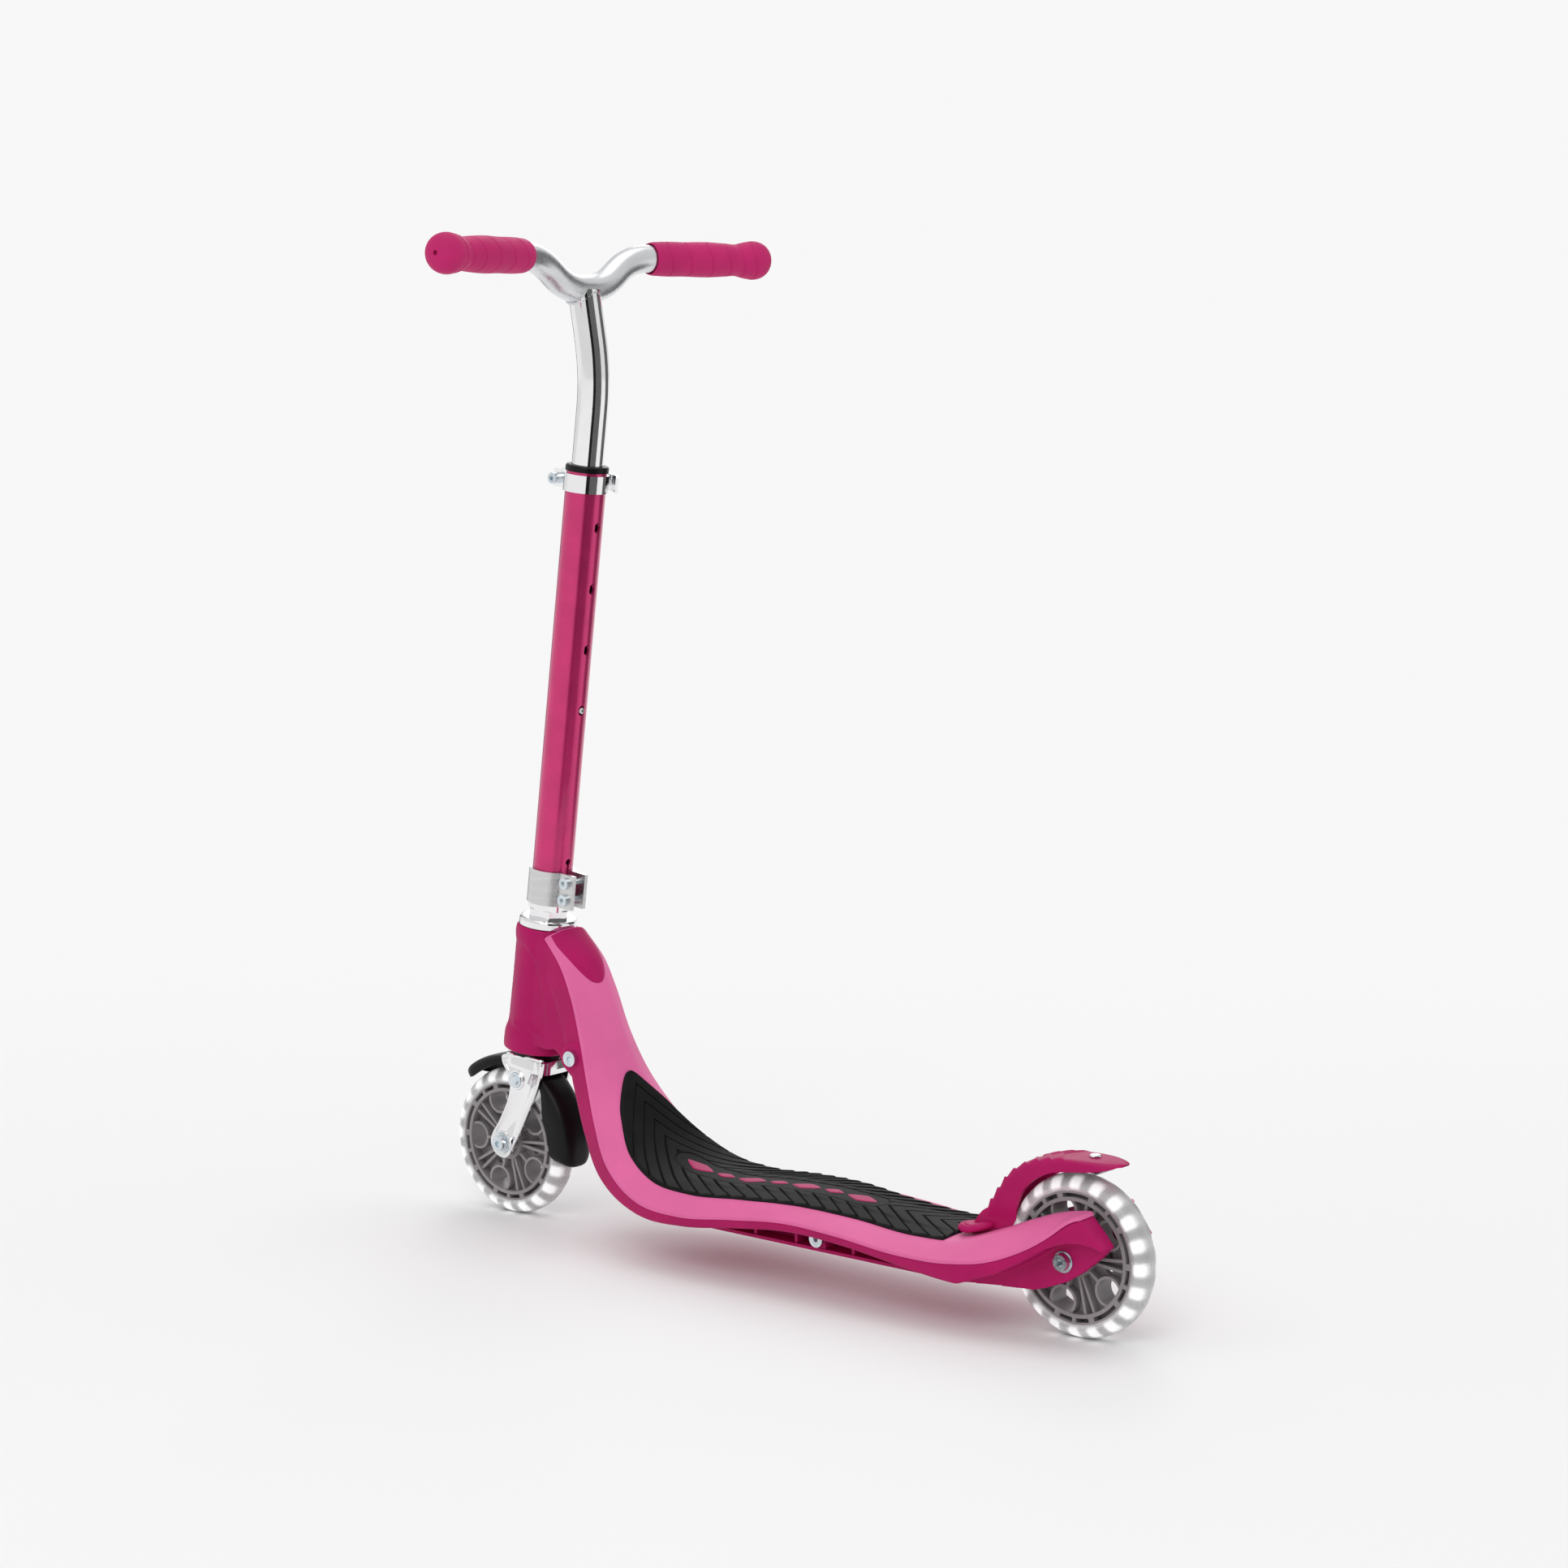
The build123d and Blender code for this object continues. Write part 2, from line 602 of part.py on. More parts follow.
def axle_bolt(axle_x, outer_y):
    """The wheel axle: a button-head bolt from the left with a locking nut on the right."""
    with BuildPart() as made:
        with BuildSketch(wheel_plane(axle_x, outer_y)):
            Circle(AXLE_RADIUS)
        extrude(amount=2 * outer_y + 6)
        with BuildSketch(wheel_plane(axle_x, outer_y + 1)):
            Circle(AXLE_HEAD_RADIUS + 1.2)
        extrude(amount=1)
        with BuildSketch(wheel_plane(axle_x, outer_y + 1)):
            Circle(AXLE_HEAD_RADIUS)
        extrude(amount=-AXLE_HEAD_HEIGHT, taper=12)
        with BuildSketch(wheel_plane(axle_x, outer_y + 1 + AXLE_HEAD_HEIGHT)):
            RegularPolygon(2.9, 6)
        extrude(amount=AXLE_HEAD_HEIGHT - 1, mode=Mode.SUBTRACT)
    return made.part


def axle_nut(axle_x, outer_y):
    with BuildPart() as made:
        with BuildSketch(wheel_plane(axle_x, -outer_y)):
            RegularPolygon(7.4, 6)
            Circle(AXLE_RADIUS, mode=Mode.SUBTRACT)
        extrude(amount=6)
    return made.part


FORK_INNER = 15.0
FORK_OUTER = 17.5
GUARD_SCREW = (265.0, 115.6)      # through the fork blades into the mudguard
GUARD_SCREW_RADIUS = 2.5
WHEEL_PIECES = (
    ("hub", hub), ("tyre", tyre), ("bearings", bearing_pair),
    ("generator_coil", generator_coil), ("magnet_core", magnet_core),
)
AXLE_PIECES = (("axle_bolt", axle_bolt), ("axle_nut", axle_nut))
WHEELS = (("front", AXLE_X, FORK_INNER, FORK_OUTER), ("rear", -AXLE_X, WHEEL_SLOT, REAR_ARM_INSET))
for end, axle_x, inner_y, outer_y in WHEELS:
    for piece_name, make_piece in WHEEL_PIECES:
        piece = make_piece(axle_x)
        piece.label = f"{end}_{piece_name}"
        export_step(piece, f"parts/{end}_{piece_name}.step")
    for piece_name, make_piece in AXLE_PIECES:
        piece = make_piece(axle_x, outer_y)
        piece.label = f"{end}_{piece_name}"
        export_step(piece, f"parts/{end}_{piece_name}.step")
    spacers = wheel_spacers(axle_x, inner_y)
    spacers.label = f"{end}_spacers"
    export_step(spacers, f"parts/{end}_spacers.step")

# ---------------------------------------------------------------- fork
with BuildPart() as fork:
    with BuildSketch(STEER.offset(CROWN_BOTTOM)):
        with Locations((-1, 0)):
            RectangleRounded(46, 2 * FORK_OUTER, 9)
    extrude(amount=CROWN_TOP - CROWN_BOTTOM)
    for side in (1, -1):
        with BuildSketch(side_plane(side * FORK_OUTER)):
            with BuildLine():
                Polyline((280.5, 136.5), (279, 128), (268, 114), (273, 98), (285, 78))
                Line((285, 78), (293.2, 67))
                ThreePointArc((293.2, 67), (282, 47.5), (270.4, 54.5))
                Line((270.4, 54.5), (262, 70))
                Polyline((262, 70), (252, 89), (241, 110), (236, 126), (234.6, 131), (280.5, 136.5))
            make_face()
            with Locations((AXLE_X, WHEEL_RADIUS)):
                Circle(AXLE_RADIUS, mode=Mode.SUBTRACT)
            with Locations(GUARD_SCREW):
                Circle(GUARD_SCREW_RADIUS, mode=Mode.SUBTRACT)
        extrude(amount=side * (FORK_OUTER - FORK_INNER))
fork.part.label = "fork"
export_step(fork.part, "parts/fork.step")

with BuildPart() as steerer_tube:
    with BuildSketch(STEER.offset(CROWN_TOP)):
        Circle(STEERER_RADIUS)
        Circle(STEERER_RADIUS - 2.2, mode=Mode.SUBTRACT)
    extrude(amount=BASE_CLAMP_TOP - CROWN_TOP + 4)
steerer_tube.part.label = "steerer_tube"
export_step(steerer_tube.part, "parts/steerer_tube.step")

with BuildPart() as lower_seal:
    with BuildSketch(STEER.offset(CROWN_TOP)):
        Circle(18.9)
        Circle(STEERER_RADIUS, mode=Mode.SUBTRACT)
    extrude(amount=BARREL_BOTTOM - CROWN_TOP - GAP)
lower_seal.part.label = "lower_seal"
export_step(lower_seal.part, "parts/lower_seal.step")

with BuildPart() as cup_washer:
    with BuildSketch(STEER.offset(WASHER_BOTTOM)):
        Circle(23.4)
    extrude(amount=ADJUSTER_BOTTOM - WASHER_BOTTOM)
    fillet(cup_washer.edges().filter_by(GeomType.CIRCLE).sort_by(Axis.Z)[-1], 2.5)
    with BuildSketch(STEER.offset(WASHER_BOTTOM)):
        Circle(STEERER_RADIUS)
    extrude(amount=20, mode=Mode.SUBTRACT)
cup_washer.part.label = "cup_washer"
export_step(cup_washer.part, "parts/cup_washer.step")

NUT_RADIUS = 17.6


def headset_nut(bottom, top, turn):
    with BuildPart() as made:
        with BuildSketch(STEER.offset(bottom)):
            RegularPolygon(NUT_RADIUS, 6, rotation=turn)
            Circle(NUT_RADIUS - 0.7, mode=Mode.INTERSECT)
            Circle(STEERER_RADIUS, mode=Mode.SUBTRACT)
        extrude(amount=top - bottom)
    return made.part


adjusting_nut = headset_nut(ADJUSTER_BOTTOM, LOCKNUT_BOTTOM, 10)
adjusting_nut.label = "adjusting_nut"
export_step(adjusting_nut, "parts/adjusting_nut.step")

lock_nut = headset_nut(LOCKNUT_BOTTOM, BASE_CLAMP_BOTTOM, 34)
lock_nut.label = "lock_nut"
export_step(lock_nut, "parts/lock_nut.step")

# front mudguard, a curved shell round the top and back of the front wheel
GUARD_INNER = 66.0
GUARD_OUTER = 72.5
GUARD_HALF = 14.6
GUARD_WIDE = 17.0
GUARD_SKIRT = 51.0


def guard_sector(outer, inner, first, last, y, width):
    """Add a ring sector round the front axle, between two angles, from y to y - width."""
    with BuildSketch(wheel_plane(AXLE_X, y)) as outline:
        with BuildLine():
            outer_arc = CenterArc((0, 0), outer, first, last - first)
            inner_arc = CenterArc((0, 0), inner, first, last - first)
            Line(outer_arc @ 0, inner_arc @ 0)
            Line(outer_arc @ 1, inner_arc @ 1)
        make_face()
    extrude(outline.sketch, amount=width)


with BuildPart() as front_mudguard:
    guard_sector(GUARD_OUTER, GUARD_INNER, 49, 190, GUARD_HALF, 2 * GUARD_HALF)
    guard_sector(GUARD_OUTER, GUARD_INNER, 49, 84, GUARD_WIDE, 2 * GUARD_WIDE)
    guard_sector(GUARD_OUTER, GUARD_INNER, 138, 190, GUARD_WIDE, 2 * GUARD_WIDE)
    guard_sector(GUARD_OUTER, GUARD_SKIRT, 138, 190, GUARD_WIDE, 1.8)
    guard_sector(GUARD_OUTER, GUARD_SKIRT, 138, 190, -GUARD_WIDE + 1.8, 1.8)
    for side in (1, -1):
        with BuildSketch(side_plane(side * GUARD_HALF)):
            with Locations((GUARD_SCREW[0], GUARD_SCREW[1] + 2.4)):
                Rectangle(14, 18)
        extrude(amount=side * 1.5)
    with BuildSketch(side_plane(0)):
        with Locations(GUARD_SCREW):
            Circle(GUARD_SCREW_RADIUS)
    extrude(amount=20, both=True, mode=Mode.SUBTRACT)
front_mudguard.part.label = "front_mudguard"
export_step(front_mudguard.part, "parts/front_mudguard.step")

with BuildPart() as mudguard_screws:
    for side in (1, -1):
        with BuildSketch(side_plane(side * (GUARD_HALF - 1.4))):
            with Locations(GUARD_SCREW):
                Circle(GUARD_SCREW_RADIUS)
        extrude(amount=-side * (FORK_OUTER - GUARD_HALF + 1.4))
        with BuildSketch(side_plane(side * FORK_OUTER)):
            with Locations(GUARD_SCREW):
                Circle(6.4)
        extrude(amount=-side * 2)
        with BuildSketch(side_plane(side * (FORK_OUTER + 2))):
            with Locations(GUARD_SCREW):
                RegularPolygon(4.0, 6)
        extrude(amount=-side * 1.5)
mudguard_screws.part.label = "mudguard_screws"
export_step(mudguard_screws.part, "parts/mudguard_screws.step")

# ---------------------------------------------------------------- steering column
HOLE_HALF_WIDTH = 2.9
HOLE_LENGTH = 8.0
with BuildPart() as steering_column:
    with BuildSketch(STEER.offset(BASE_CLAMP_BOTTOM)):
        Circle(COLUMN_RADIUS)
        Circle(COLUMN_BORE, mode=Mode.SUBTRACT)
    extrude(amount=COLUMN_TOP - BASE_CLAMP_BOTTOM)
    with BuildSketch(COLUMN_BACK):
        for number in range(HOLE_COUNT):
            with Locations((0, LOWEST_HOLE + number * HOLE_PITCH)):
                SlotOverall(HOLE_LENGTH, 2 * HOLE_HALF_WIDTH, rotation=90)
        with Locations((0, BASE_CLAMP_BOTTOM)):
            Rectangle(2.4, 2 * (BASE_CLAMP_TOP - BASE_CLAMP_BOTTOM + 8))
        with Locations((0, BASE_CLAMP_TOP + 8)):
            Circle(2.6)
    extrude(amount=30, mode=Mode.SUBTRACT)
    with BuildSketch(COLUMN_BACK):
        with Locations((0, COLUMN_TOP)):
            Rectangle(2.0, 60)
    extrude(amount=-30, mode=Mode.SUBTRACT)
steering_column.part.label = "steering_column"
export_step(steering_column.part, "parts/steering_column.step")

EAR_INNER = 5.0
EAR_OUTER = 8.5
EAR_REACH = 31.0
BASE_SCREW_X = -23.0
with BuildPart() as base_clamp:
    with BuildSketch(STEER.offset(BASE_CLAMP_BOTTOM)):
        Circle(18.8)
        with Locations((-EAR_REACH / 2, 0)):
            Rectangle(EAR_REACH, 2 * EAR_OUTER)
        with Locations((-EAR_REACH / 2 - 5, 0)):
            Rectangle(EAR_REACH, 2 * EAR_INNER, mode=Mode.SUBTRACT)
        Circle(COLUMN_RADIUS, mode=Mode.SUBTRACT)
    extrude(amount=BASE_CLAMP_TOP - BASE_CLAMP_BOTTOM)
    with BuildSketch(column_side_plane(0)):
        for screw_height in (BASE_CLAMP_BOTTOM + 7, BASE_CLAMP_TOP - 7):
            with Locations((BASE_SCREW_X, screw_height)):
                Circle(2.6)
    extrude(amount=40, both=True, mode=Mode.SUBTRACT)
base_clamp.part.label = "base_clamp"
export_step(base_clamp.part, "parts/base_clamp.step")


with BuildPart() as base_clamp_screws:
    for screw_height in (BASE_CLAMP_BOTTOM + 7, BASE_CLAMP_TOP - 7):
        at = (BASE_SCREW_X, screw_height)
        with BuildSketch(column_side_plane(EAR_OUTER)):
            with Locations(at):
                Circle(2.6)
        extrude(amount=2 * EAR_OUTER)
        with BuildSketch(column_side_plane(EAR_OUTER + 3)):
            with Locations(at):
                Circle(4.6)
        extrude(amount=3)
        with BuildSketch(column_side_plane(EAR_OUTER + 3)):
            with Locations(at):
                RegularPolygon(2.2, 6)
        extrude(amount=2, mode=Mode.SUBTRACT)
        with BuildSketch(column_side_plane(-EAR_OUTER)):
            with Locations(at):
                RegularPolygon(4.8, 6)
        extrude(amount=3.5)
base_clamp_screws.part.label = "base_clamp_screws"
export_step(base_clamp_screws.part, "parts/base_clamp_screws.step")

# quick-release band at the top of the column
BAND_RADIUS = 18.0
BAND_MIDDLE = (BAND_BOTTOM + BAND_TOP) / 2
BAND_EAR_REACH = 30.0
CLAMP_BOLT_X = 25.0
CAM_Y = -12.5
CAM_RADIUS = 4.5
with BuildPart() as clamp_band:
    with BuildSketch(STEER.offset(BAND_BOTTOM)):
        Circle(BAND_RADIUS)
        with Locations((BAND_EAR_REACH / 2, 0)):
            Rectangle(BAND_EAR_REACH, 11)
        with Locations((BAND_EAR_REACH / 2 + 3, 0)):
            Rectangle(BAND_EAR_REACH, 5, mode=Mode.SUBTRACT)
        Circle(COLUMN_RADIUS, mode=Mode.SUBTRACT)
    extrude(amount=BAND_TOP - BAND_BOTTOM)
    with BuildSketch(column_side_plane(0)):
        with Locations((CLAMP_BOLT_X, BAND_MIDDLE)):
            Circle(2.5)
    extrude(amount=20, both=True, mode=Mode.SUBTRACT)
clamp_band.part.label = "clamp_band"
export_step(clamp_band.part, "parts/clamp_band.step")

with BuildPart() as clamp_bolt:
    with BuildSketch(column_side_plane(7)):
        with Locations((CLAMP_BOLT_X, BAND_MIDDLE)):
            Circle(2.5)
    extrude(amount=7 - CAM_Y - 3.4)
    with BuildSketch(column_side_plane(13)):
        with Locations((CLAMP_BOLT_X, BAND_MIDDLE)):
            Circle(4.4)
    extrude(amount=7.5)
    with BuildSketch(column_side_plane(13)):
        with Locations((CLAMP_BOLT_X, BAND_MIDDLE)):
            RegularPolygon(2.3, 6)
    extrude(amount=4, mode=Mode.SUBTRACT)
    with BuildSketch(STEER.offset(BAND_MIDDLE - 2.2)):
        with Locations((CLAMP_BOLT_X, CAM_Y)):
            Circle(3.6)
    extrude(amount=4.4)
    with BuildSketch(STEER.offset(BAND_BOTTOM)):
        with Locations((CLAMP_BOLT_X, CAM_Y)):
            Circle(1.5)
    extrude(amount=BAND_TOP - BAND_BOTTOM)
clamp_bolt.part.label = "clamp_bolt"
export_step(clamp_bolt.part, "parts/clamp_bolt.step")

LEVER_INNER = 21.0
LEVER_OUTER = 23.2
with BuildPart() as clamp_lever:
    with BuildSketch(STEER.offset(BAND_BOTTOM + 0.5)):
        with Locations((CLAMP_BOLT_X, CAM_Y)):
            Circle(CAM_RADIUS)
        with BuildLine():
            outer_arc = CenterArc((0, 0), LEVER_OUTER + 2.5, -150, 124)
            inner_arc = CenterArc((0, 0), LEVER_INNER + 2.5, -150, 124)
            Line(outer_arc @ 0, inner_arc @ 0)
            Line(outer_arc @ 1, inner_arc @ 1)
        make_face()
    extrude(amount=BAND_TOP - BAND_BOTTOM - 1)
    with BuildSketch(STEER.offset(BAND_MIDDLE - 2.6)):
        with Locations((CLAMP_BOLT_X, CAM_Y)):
            Circle(5.6)
    extrude(amount=5.2, mode=Mode.SUBTRACT)
    with BuildSketch(STEER.offset(BAND_BOTTOM)):
        with Locations((CLAMP_BOLT_X, CAM_Y)):
            Circle(1.5 + RUNNING)
    extrude(amount=BAND_TOP - BAND_BOTTOM, mode=Mode.SUBTRACT)
clamp_lever.part.label = "clamp_lever"
export_step(clamp_lever.part, "parts/clamp_lever.step")

with BuildPart() as column_bush:
    with BuildSketch(STEER.offset(COLUMN_TOP)):
        Circle(COLUMN_RADIUS + 1.0)
    extrude(amount=5)
    fillet(column_bush.edges().filter_by(GeomType.CIRCLE).sort_by(Axis.Z)[-1], 2)
    with BuildSketch(STEER.offset(COLUMN_TOP)):
        Circle(COLUMN_BORE)
    extrude(amount=-26)
    with BuildSketch(STEER.offset(COLUMN_TOP - 30)):
        Circle(UPPER_TUBE_RADIUS + RUNNING + 0.02)
    extrude(amount=60, mode=Mode.SUBTRACT)
column_bush.part.label = "column_bush"
export_step(column_bush.part, "parts/column_bush.step")

# ---------------------------------------------------------------- handlebar
BAR_CENTRE = (200.0, 752.7)
BAR_DIP_HALF = 20.0          # half the level run in the middle
BAR_SHOULDER = 54.0          # along the grip axis, where the bar turns down to the dip
BAR_END = 190.0
BAR_BEND = 50.0
GRIP_ORIGIN = Vector(GRIP_AXIS_X, 0, GRIP_AXIS_Z)


def grip_direction(side):
    return Vector(-sin(radians(GRIP_SWEEP)), side * cos(radians(GRIP_SWEEP)), 0)


def bar_solid(radius):
    """The bent handlebar, straight under the grips and dipping to the middle."""
    left = grip_direction(1)
    right = grip_direction(-1)
    with BuildPart() as made:
        with BuildLine():
            path = FilletPolyline(
                GRIP_ORIGIN + right * BAR_END, GRIP_ORIGIN + right * BAR_SHOULDER,
                (BAR_CENTRE[0], -BAR_DIP_HALF, BAR_CENTRE[1]),
                (BAR_CENTRE[0], BAR_DIP_HALF, BAR_CENTRE[1]),
                GRIP_ORIGIN + left * BAR_SHOULDER, GRIP_ORIGIN + left * BAR_END,
                radius=BAR_BEND,
            )
        with BuildSketch(Plane(origin=path @ 0, z_dir=path % 0)):
            Circle(radius)
        sweep(path=path)
    return made.part


bar_outer = bar_solid(HANDLEBAR_RADIUS)
bar_inner = bar_solid(HANDLEBAR_RADIUS - TUBE_WALL)
with BuildPart() as handlebar:
    add(bar_outer)
    add(bar_inner, mode=Mode.SUBTRACT)
handlebar.part.label = "handlebar"
export_step(handlebar.part, "parts/handlebar.step")

STEM_CORNER_Z = 686.0
STEM_BEND = 180.0
stem_corner = (STEER_GROUND_X - tan(radians(STEER_RAKE)) * STEM_CORNER_Z, STEM_CORNER_Z)
stem_foot = steer_point(UPPER_TUBE_BOTTOM)


def stem_solid(radius):
    """The upper tube: straight in the column, then leaning forward to the bar."""
    with BuildPart() as made:
        with BuildLine(side_plane(0)):
            path = FilletPolyline(
                (stem_foot.X, stem_foot.Z), stem_corner, (BAR_CENTRE[0], BAR_CENTRE[1] + 2),
                radius=STEM_BEND,
            )
        with BuildSketch(Plane(origin=path @ 0, z_dir=path % 0)):
            Circle(radius)
        sweep(path=path)
    return made.part


stem_outer = stem_solid(UPPER_TUBE_RADIUS)
stem_inner = stem_solid(UPPER_TUBE_RADIUS - TUBE_WALL)
BUTTON_RADIUS = 2.5
with BuildPart() as upper_tube:
    add(stem_outer)
    add(stem_inner, mode=Mode.SUBTRACT)
    add(bar_outer, mode=Mode.SUBTRACT)
    with BuildSketch(COLUMN_BACK):
        with Locations((0, LOWEST_HOLE)):
            Circle(BUTTON_RADIUS + GAP)
    extrude(amount=30, mode=Mode.SUBTRACT)
    with BuildSketch(Plane(origin=(BAR_CENTRE[0], 0, BAR_CENTRE[1]), x_dir=(1, 0, 0), z_dir=(0, 0, 1))):
        Rectangle(60, 60)
    extrude(amount=30, mode=Mode.SUBTRACT)
upper_tube.part.label = "upper_tube"
export_step(upper_tube.part, "parts/upper_tube.step")

GRIP_BALL_CENTRE = GRIP_INNER + 104.0


def grip(side):
    """A rubber grip: open collar inside, waisted body, rounded bulb at the end."""
    outward = grip_direction(side)
    outline_plane = Plane(origin=GRIP_ORIGIN, x_dir=outward, z_dir=outward.cross(Vector(0, 0, 1)))
    with BuildPart() as made:
        with BuildSketch(outline_plane):
            with BuildLine():
                Line((GRIP_INNER, HANDLEBAR_RADIUS), (GRIP_INNER, 12.6))
                Spline(
                    (GRIP_INNER, 12.6), (GRIP_INNER + 8, 13.4), (GRIP_INNER + 32, 13.8),
                    (GRIP_INNER + 58, 14.4), (GRIP_INNER + 76, 13.6), (GRIP_INNER + 88, 13.0),
                    (GRIP_INNER + 97, 14.8), (GRIP_BALL_CENTRE, 15.7),
                    tangents=((1, 0.1), (1, 0)),
                )
                Spline(
                    (GRIP_BALL_CENTRE, 15.7), (GRIP_OUTER - 3.5, 12.2), (GRIP_OUTER, 0),
                    tangents=((1, 0), (0, -1)),
                )
                Polyline(
                    (GRIP_OUTER, 0), (BAR_END, 0), (BAR_END, HANDLEBAR_RADIUS),
                    (GRIP_INNER, HANDLEBAR_RADIUS),
                )
            make_face()
        revolve(axis=Axis(GRIP_ORIGIN, outward))
    return made.part


for name, side in (("left_grip", 1), ("right_grip", -1)):
    piece = grip(side)
    piece.label = name
    export_step(piece, f"parts/{name}.step")

# nylon guide on the foot of the upper tube, running inside the column
with BuildPart() as tube_guide:
    with BuildSketch(STEER.offset(UPPER_TUBE_BOTTOM - 14)):
        Circle(COLUMN_BORE - 0.08)
        Circle(UPPER_TUBE_RADIUS - TUBE_WALL - 2, mode=Mode.SUBTRACT)
    extrude(amount=14)
    with BuildSketch(STEER.offset(UPPER_TUBE_BOTTOM)):
        Circle(UPPER_TUBE_RADIUS - TUBE_WALL - 0.02)
        Circle(UPPER_TUBE_RADIUS - TUBE_WALL - 2, mode=Mode.SUBTRACT)
    extrude(amount=8)
tube_guide.part.label = "tube_guide"
export_step(tube_guide.part, "parts/tube_guide.step")

BUTTON_PROUD = 1.2
with BuildPart() as snap_button:
    with BuildSketch(COLUMN_BACK):
        with Locations((0, LOWEST_HOLE)):
            Circle(BUTTON_RADIUS)
    extrude(amount=COLUMN_RADIUS + BUTTON_PROUD)
    fillet(snap_button.edges().filter_by(GeomType.CIRCLE).sort_by(Axis.X)[0], 1.2)
    with BuildSketch(COLUMN_BACK.offset(UPPER_TUBE_RADIUS - TUBE_WALL - 2.5)):
        with Locations((0, LOWEST_HOLE)):
            Circle(BUTTON_RADIUS + 1.4)
    extrude(amount=1.2)
    with BuildSketch(COLUMN_BACK):
        with Locations((0, LOWEST_HOLE)):
            Circle(6)
    extrude(amount=7, mode=Mode.SUBTRACT)
snap_button.part.label = "snap_button"
export_step(snap_button.part, "parts/snap_button.step")

# leaf spring behind the button, a V lying across the inside of the tube
with BuildPart() as snap_spring:
    with BuildSketch(column_side_plane(0)):
        with BuildLine():
            Polyline(
                (-6.0, LOWEST_HOLE + 5), (-6.0, LOWEST_HOLE - 4), (8.0, LOWEST_HOLE - 12),
                (8.6, LOWEST_HOLE - 11.4), (-5.2, LOWEST_HOLE - 3.4), (-5.2, LOWEST_HOLE + 5),
                (-6.0, LOWEST_HOLE + 5),
            )
        make_face()
    extrude(amount=2.5, both=True)
snap_spring.part.label = "snap_spring"
export_step(snap_spring.part, "parts/snap_spring.step")

# ---------------------------------------------------------------- rear brake
BRAKE_GAP_RADIUS = 67.5
PLATE_OUTER = 67.5
PLATE_INNER = 66.2
BRAKE_HALF = 18.0
BRAKE_HOLLOW_HALF = 13.4
FOOT_HALF = 15.4
PIN_RADIUS = 2.5
RIVET_RADIUS = 2.5
RIVET_FOOT = 126.0
RIVET = (-292.0, 134.6)
with BuildPart() as brake_fender:
    with BuildSketch(side_plane(0)):
        with BuildLine():
            Polyline((-194, 71), (-200, 77))
            Spline(
                (-200, 77), (-208.5, 90.3), (-216.5, 102.5), (-226.5, 115.6), (-242, 126.2),
                (-266, 133), (-288, 134.6),
            )
            Polyline((-288, 134.6), (-306, 134.4), (-319, 133), (-319, 131), (-305, 125.4))
            Spline(
                (-305, 125.4), (-292, 124.8), (-279.5, 124), (-262.7, 120.3), (-247.3, 111.8),
                (-236.6, 97), (-233, 84),
            )
            Polyline((-233, 84), (-229, 79), (-200, 70.5), (-194, 71))
        make_face()
    extrude(amount=BRAKE_HALF, both=True)
    # hollow over the tyre
    with BuildSketch(wheel_plane(-AXLE_X)):
        Circle(BRAKE_GAP_RADIUS)
    extrude(amount=BRAKE_HOLLOW_HALF, both=True, mode=Mode.SUBTRACT)
    # foot down to the pivot, between the arms
    with BuildSketch(side_plane(0)):
        with BuildLine():
            Polyline((-192, 69), (-203.5, 84), (-218, 84), (-214, 66), (-211, 58))
            ThreePointArc((-211, 58), (-204, 51), (-197, 58))
            Line((-197, 58), (-192, 69))
        make_face()
    extrude(amount=FOOT_HALF, both=True)
    # spring pocket and pivot hole
    with BuildSketch(side_plane(0)):
        with Locations(PIVOT):
            Circle(6.2)
    extrude(amount=7, both=True, mode=Mode.SUBTRACT)
    with BuildSketch(side_plane(0)):
        with Locations(PIVOT):
            Circle(PIN_RADIUS + RUNNING)
    extrude(amount=30, both=True, mode=Mode.SUBTRACT)
    with BuildSketch(Plane.XY.offset(100)):
        with Locations((RIVET[0], 0)):
            Circle(RIVET_RADIUS)
    extrude(amount=60, mode=Mode.SUBTRACT)
brake_fender.part.label = "brake_fender"
export_step(brake_fender.part, "parts/brake_fender.step")

with BuildPart() as brake_plate:
    with BuildSketch(wheel_plane(-AXLE_X)):
        with BuildLine():
            outer_arc = CenterArc((0, 0), PLATE_OUTER, 62, 44)
            inner_arc = CenterArc((0, 0), PLATE_INNER, 62, 44)
            Line(outer_arc @ 0, inner_arc @ 0)
            Line(outer_arc @ 1, inner_arc @ 1)
        make_face()
    extrude(amount=12, both=True)
    with BuildSketch(Plane.XY.offset(100)):
        with Locations((RIVET[0], 0)):
            Circle(RIVET_RADIUS)
    extrude(amount=60, mode=Mode.SUBTRACT)
brake_plate.part.label = "brake_plate"
export_step(brake_plate.part, "parts/brake_plate.step")

with BuildPart() as brake_rivet:
    with BuildSketch(Plane.XY.offset(RIVET_FOOT)):
        with Locations((RIVET[0], 0)):
            Circle(RIVET_RADIUS)
    extrude(amount=RIVET[1] - RIVET_FOOT)
    with BuildSketch(Plane.XY.offset(RIVET[1])):
        with Locations((RIVET[0], 0)):
            Circle(4.4)
    extrude(amount=1.6)
    fillet(brake_rivet.edges().filter_by(GeomType.CIRCLE).sort_by(Axis.Z)[-1], 1.2)
brake_rivet.part.label = "brake_rivet"
export_step(brake_rivet.part, "parts/brake_rivet.step")

with BuildPart() as brake_pivot_pin:
    with BuildSketch(side_plane(WHEEL_SLOT + 8)):
        with Locations(PIVOT):
            Circle(PIN_RADIUS)
    extrude(amount=2 * (WHEEL_SLOT + 8))
brake_pivot_pin.part.label = "brake_pivot_pin"
export_step(brake_pivot_pin.part, "parts/brake_pivot_pin.step")

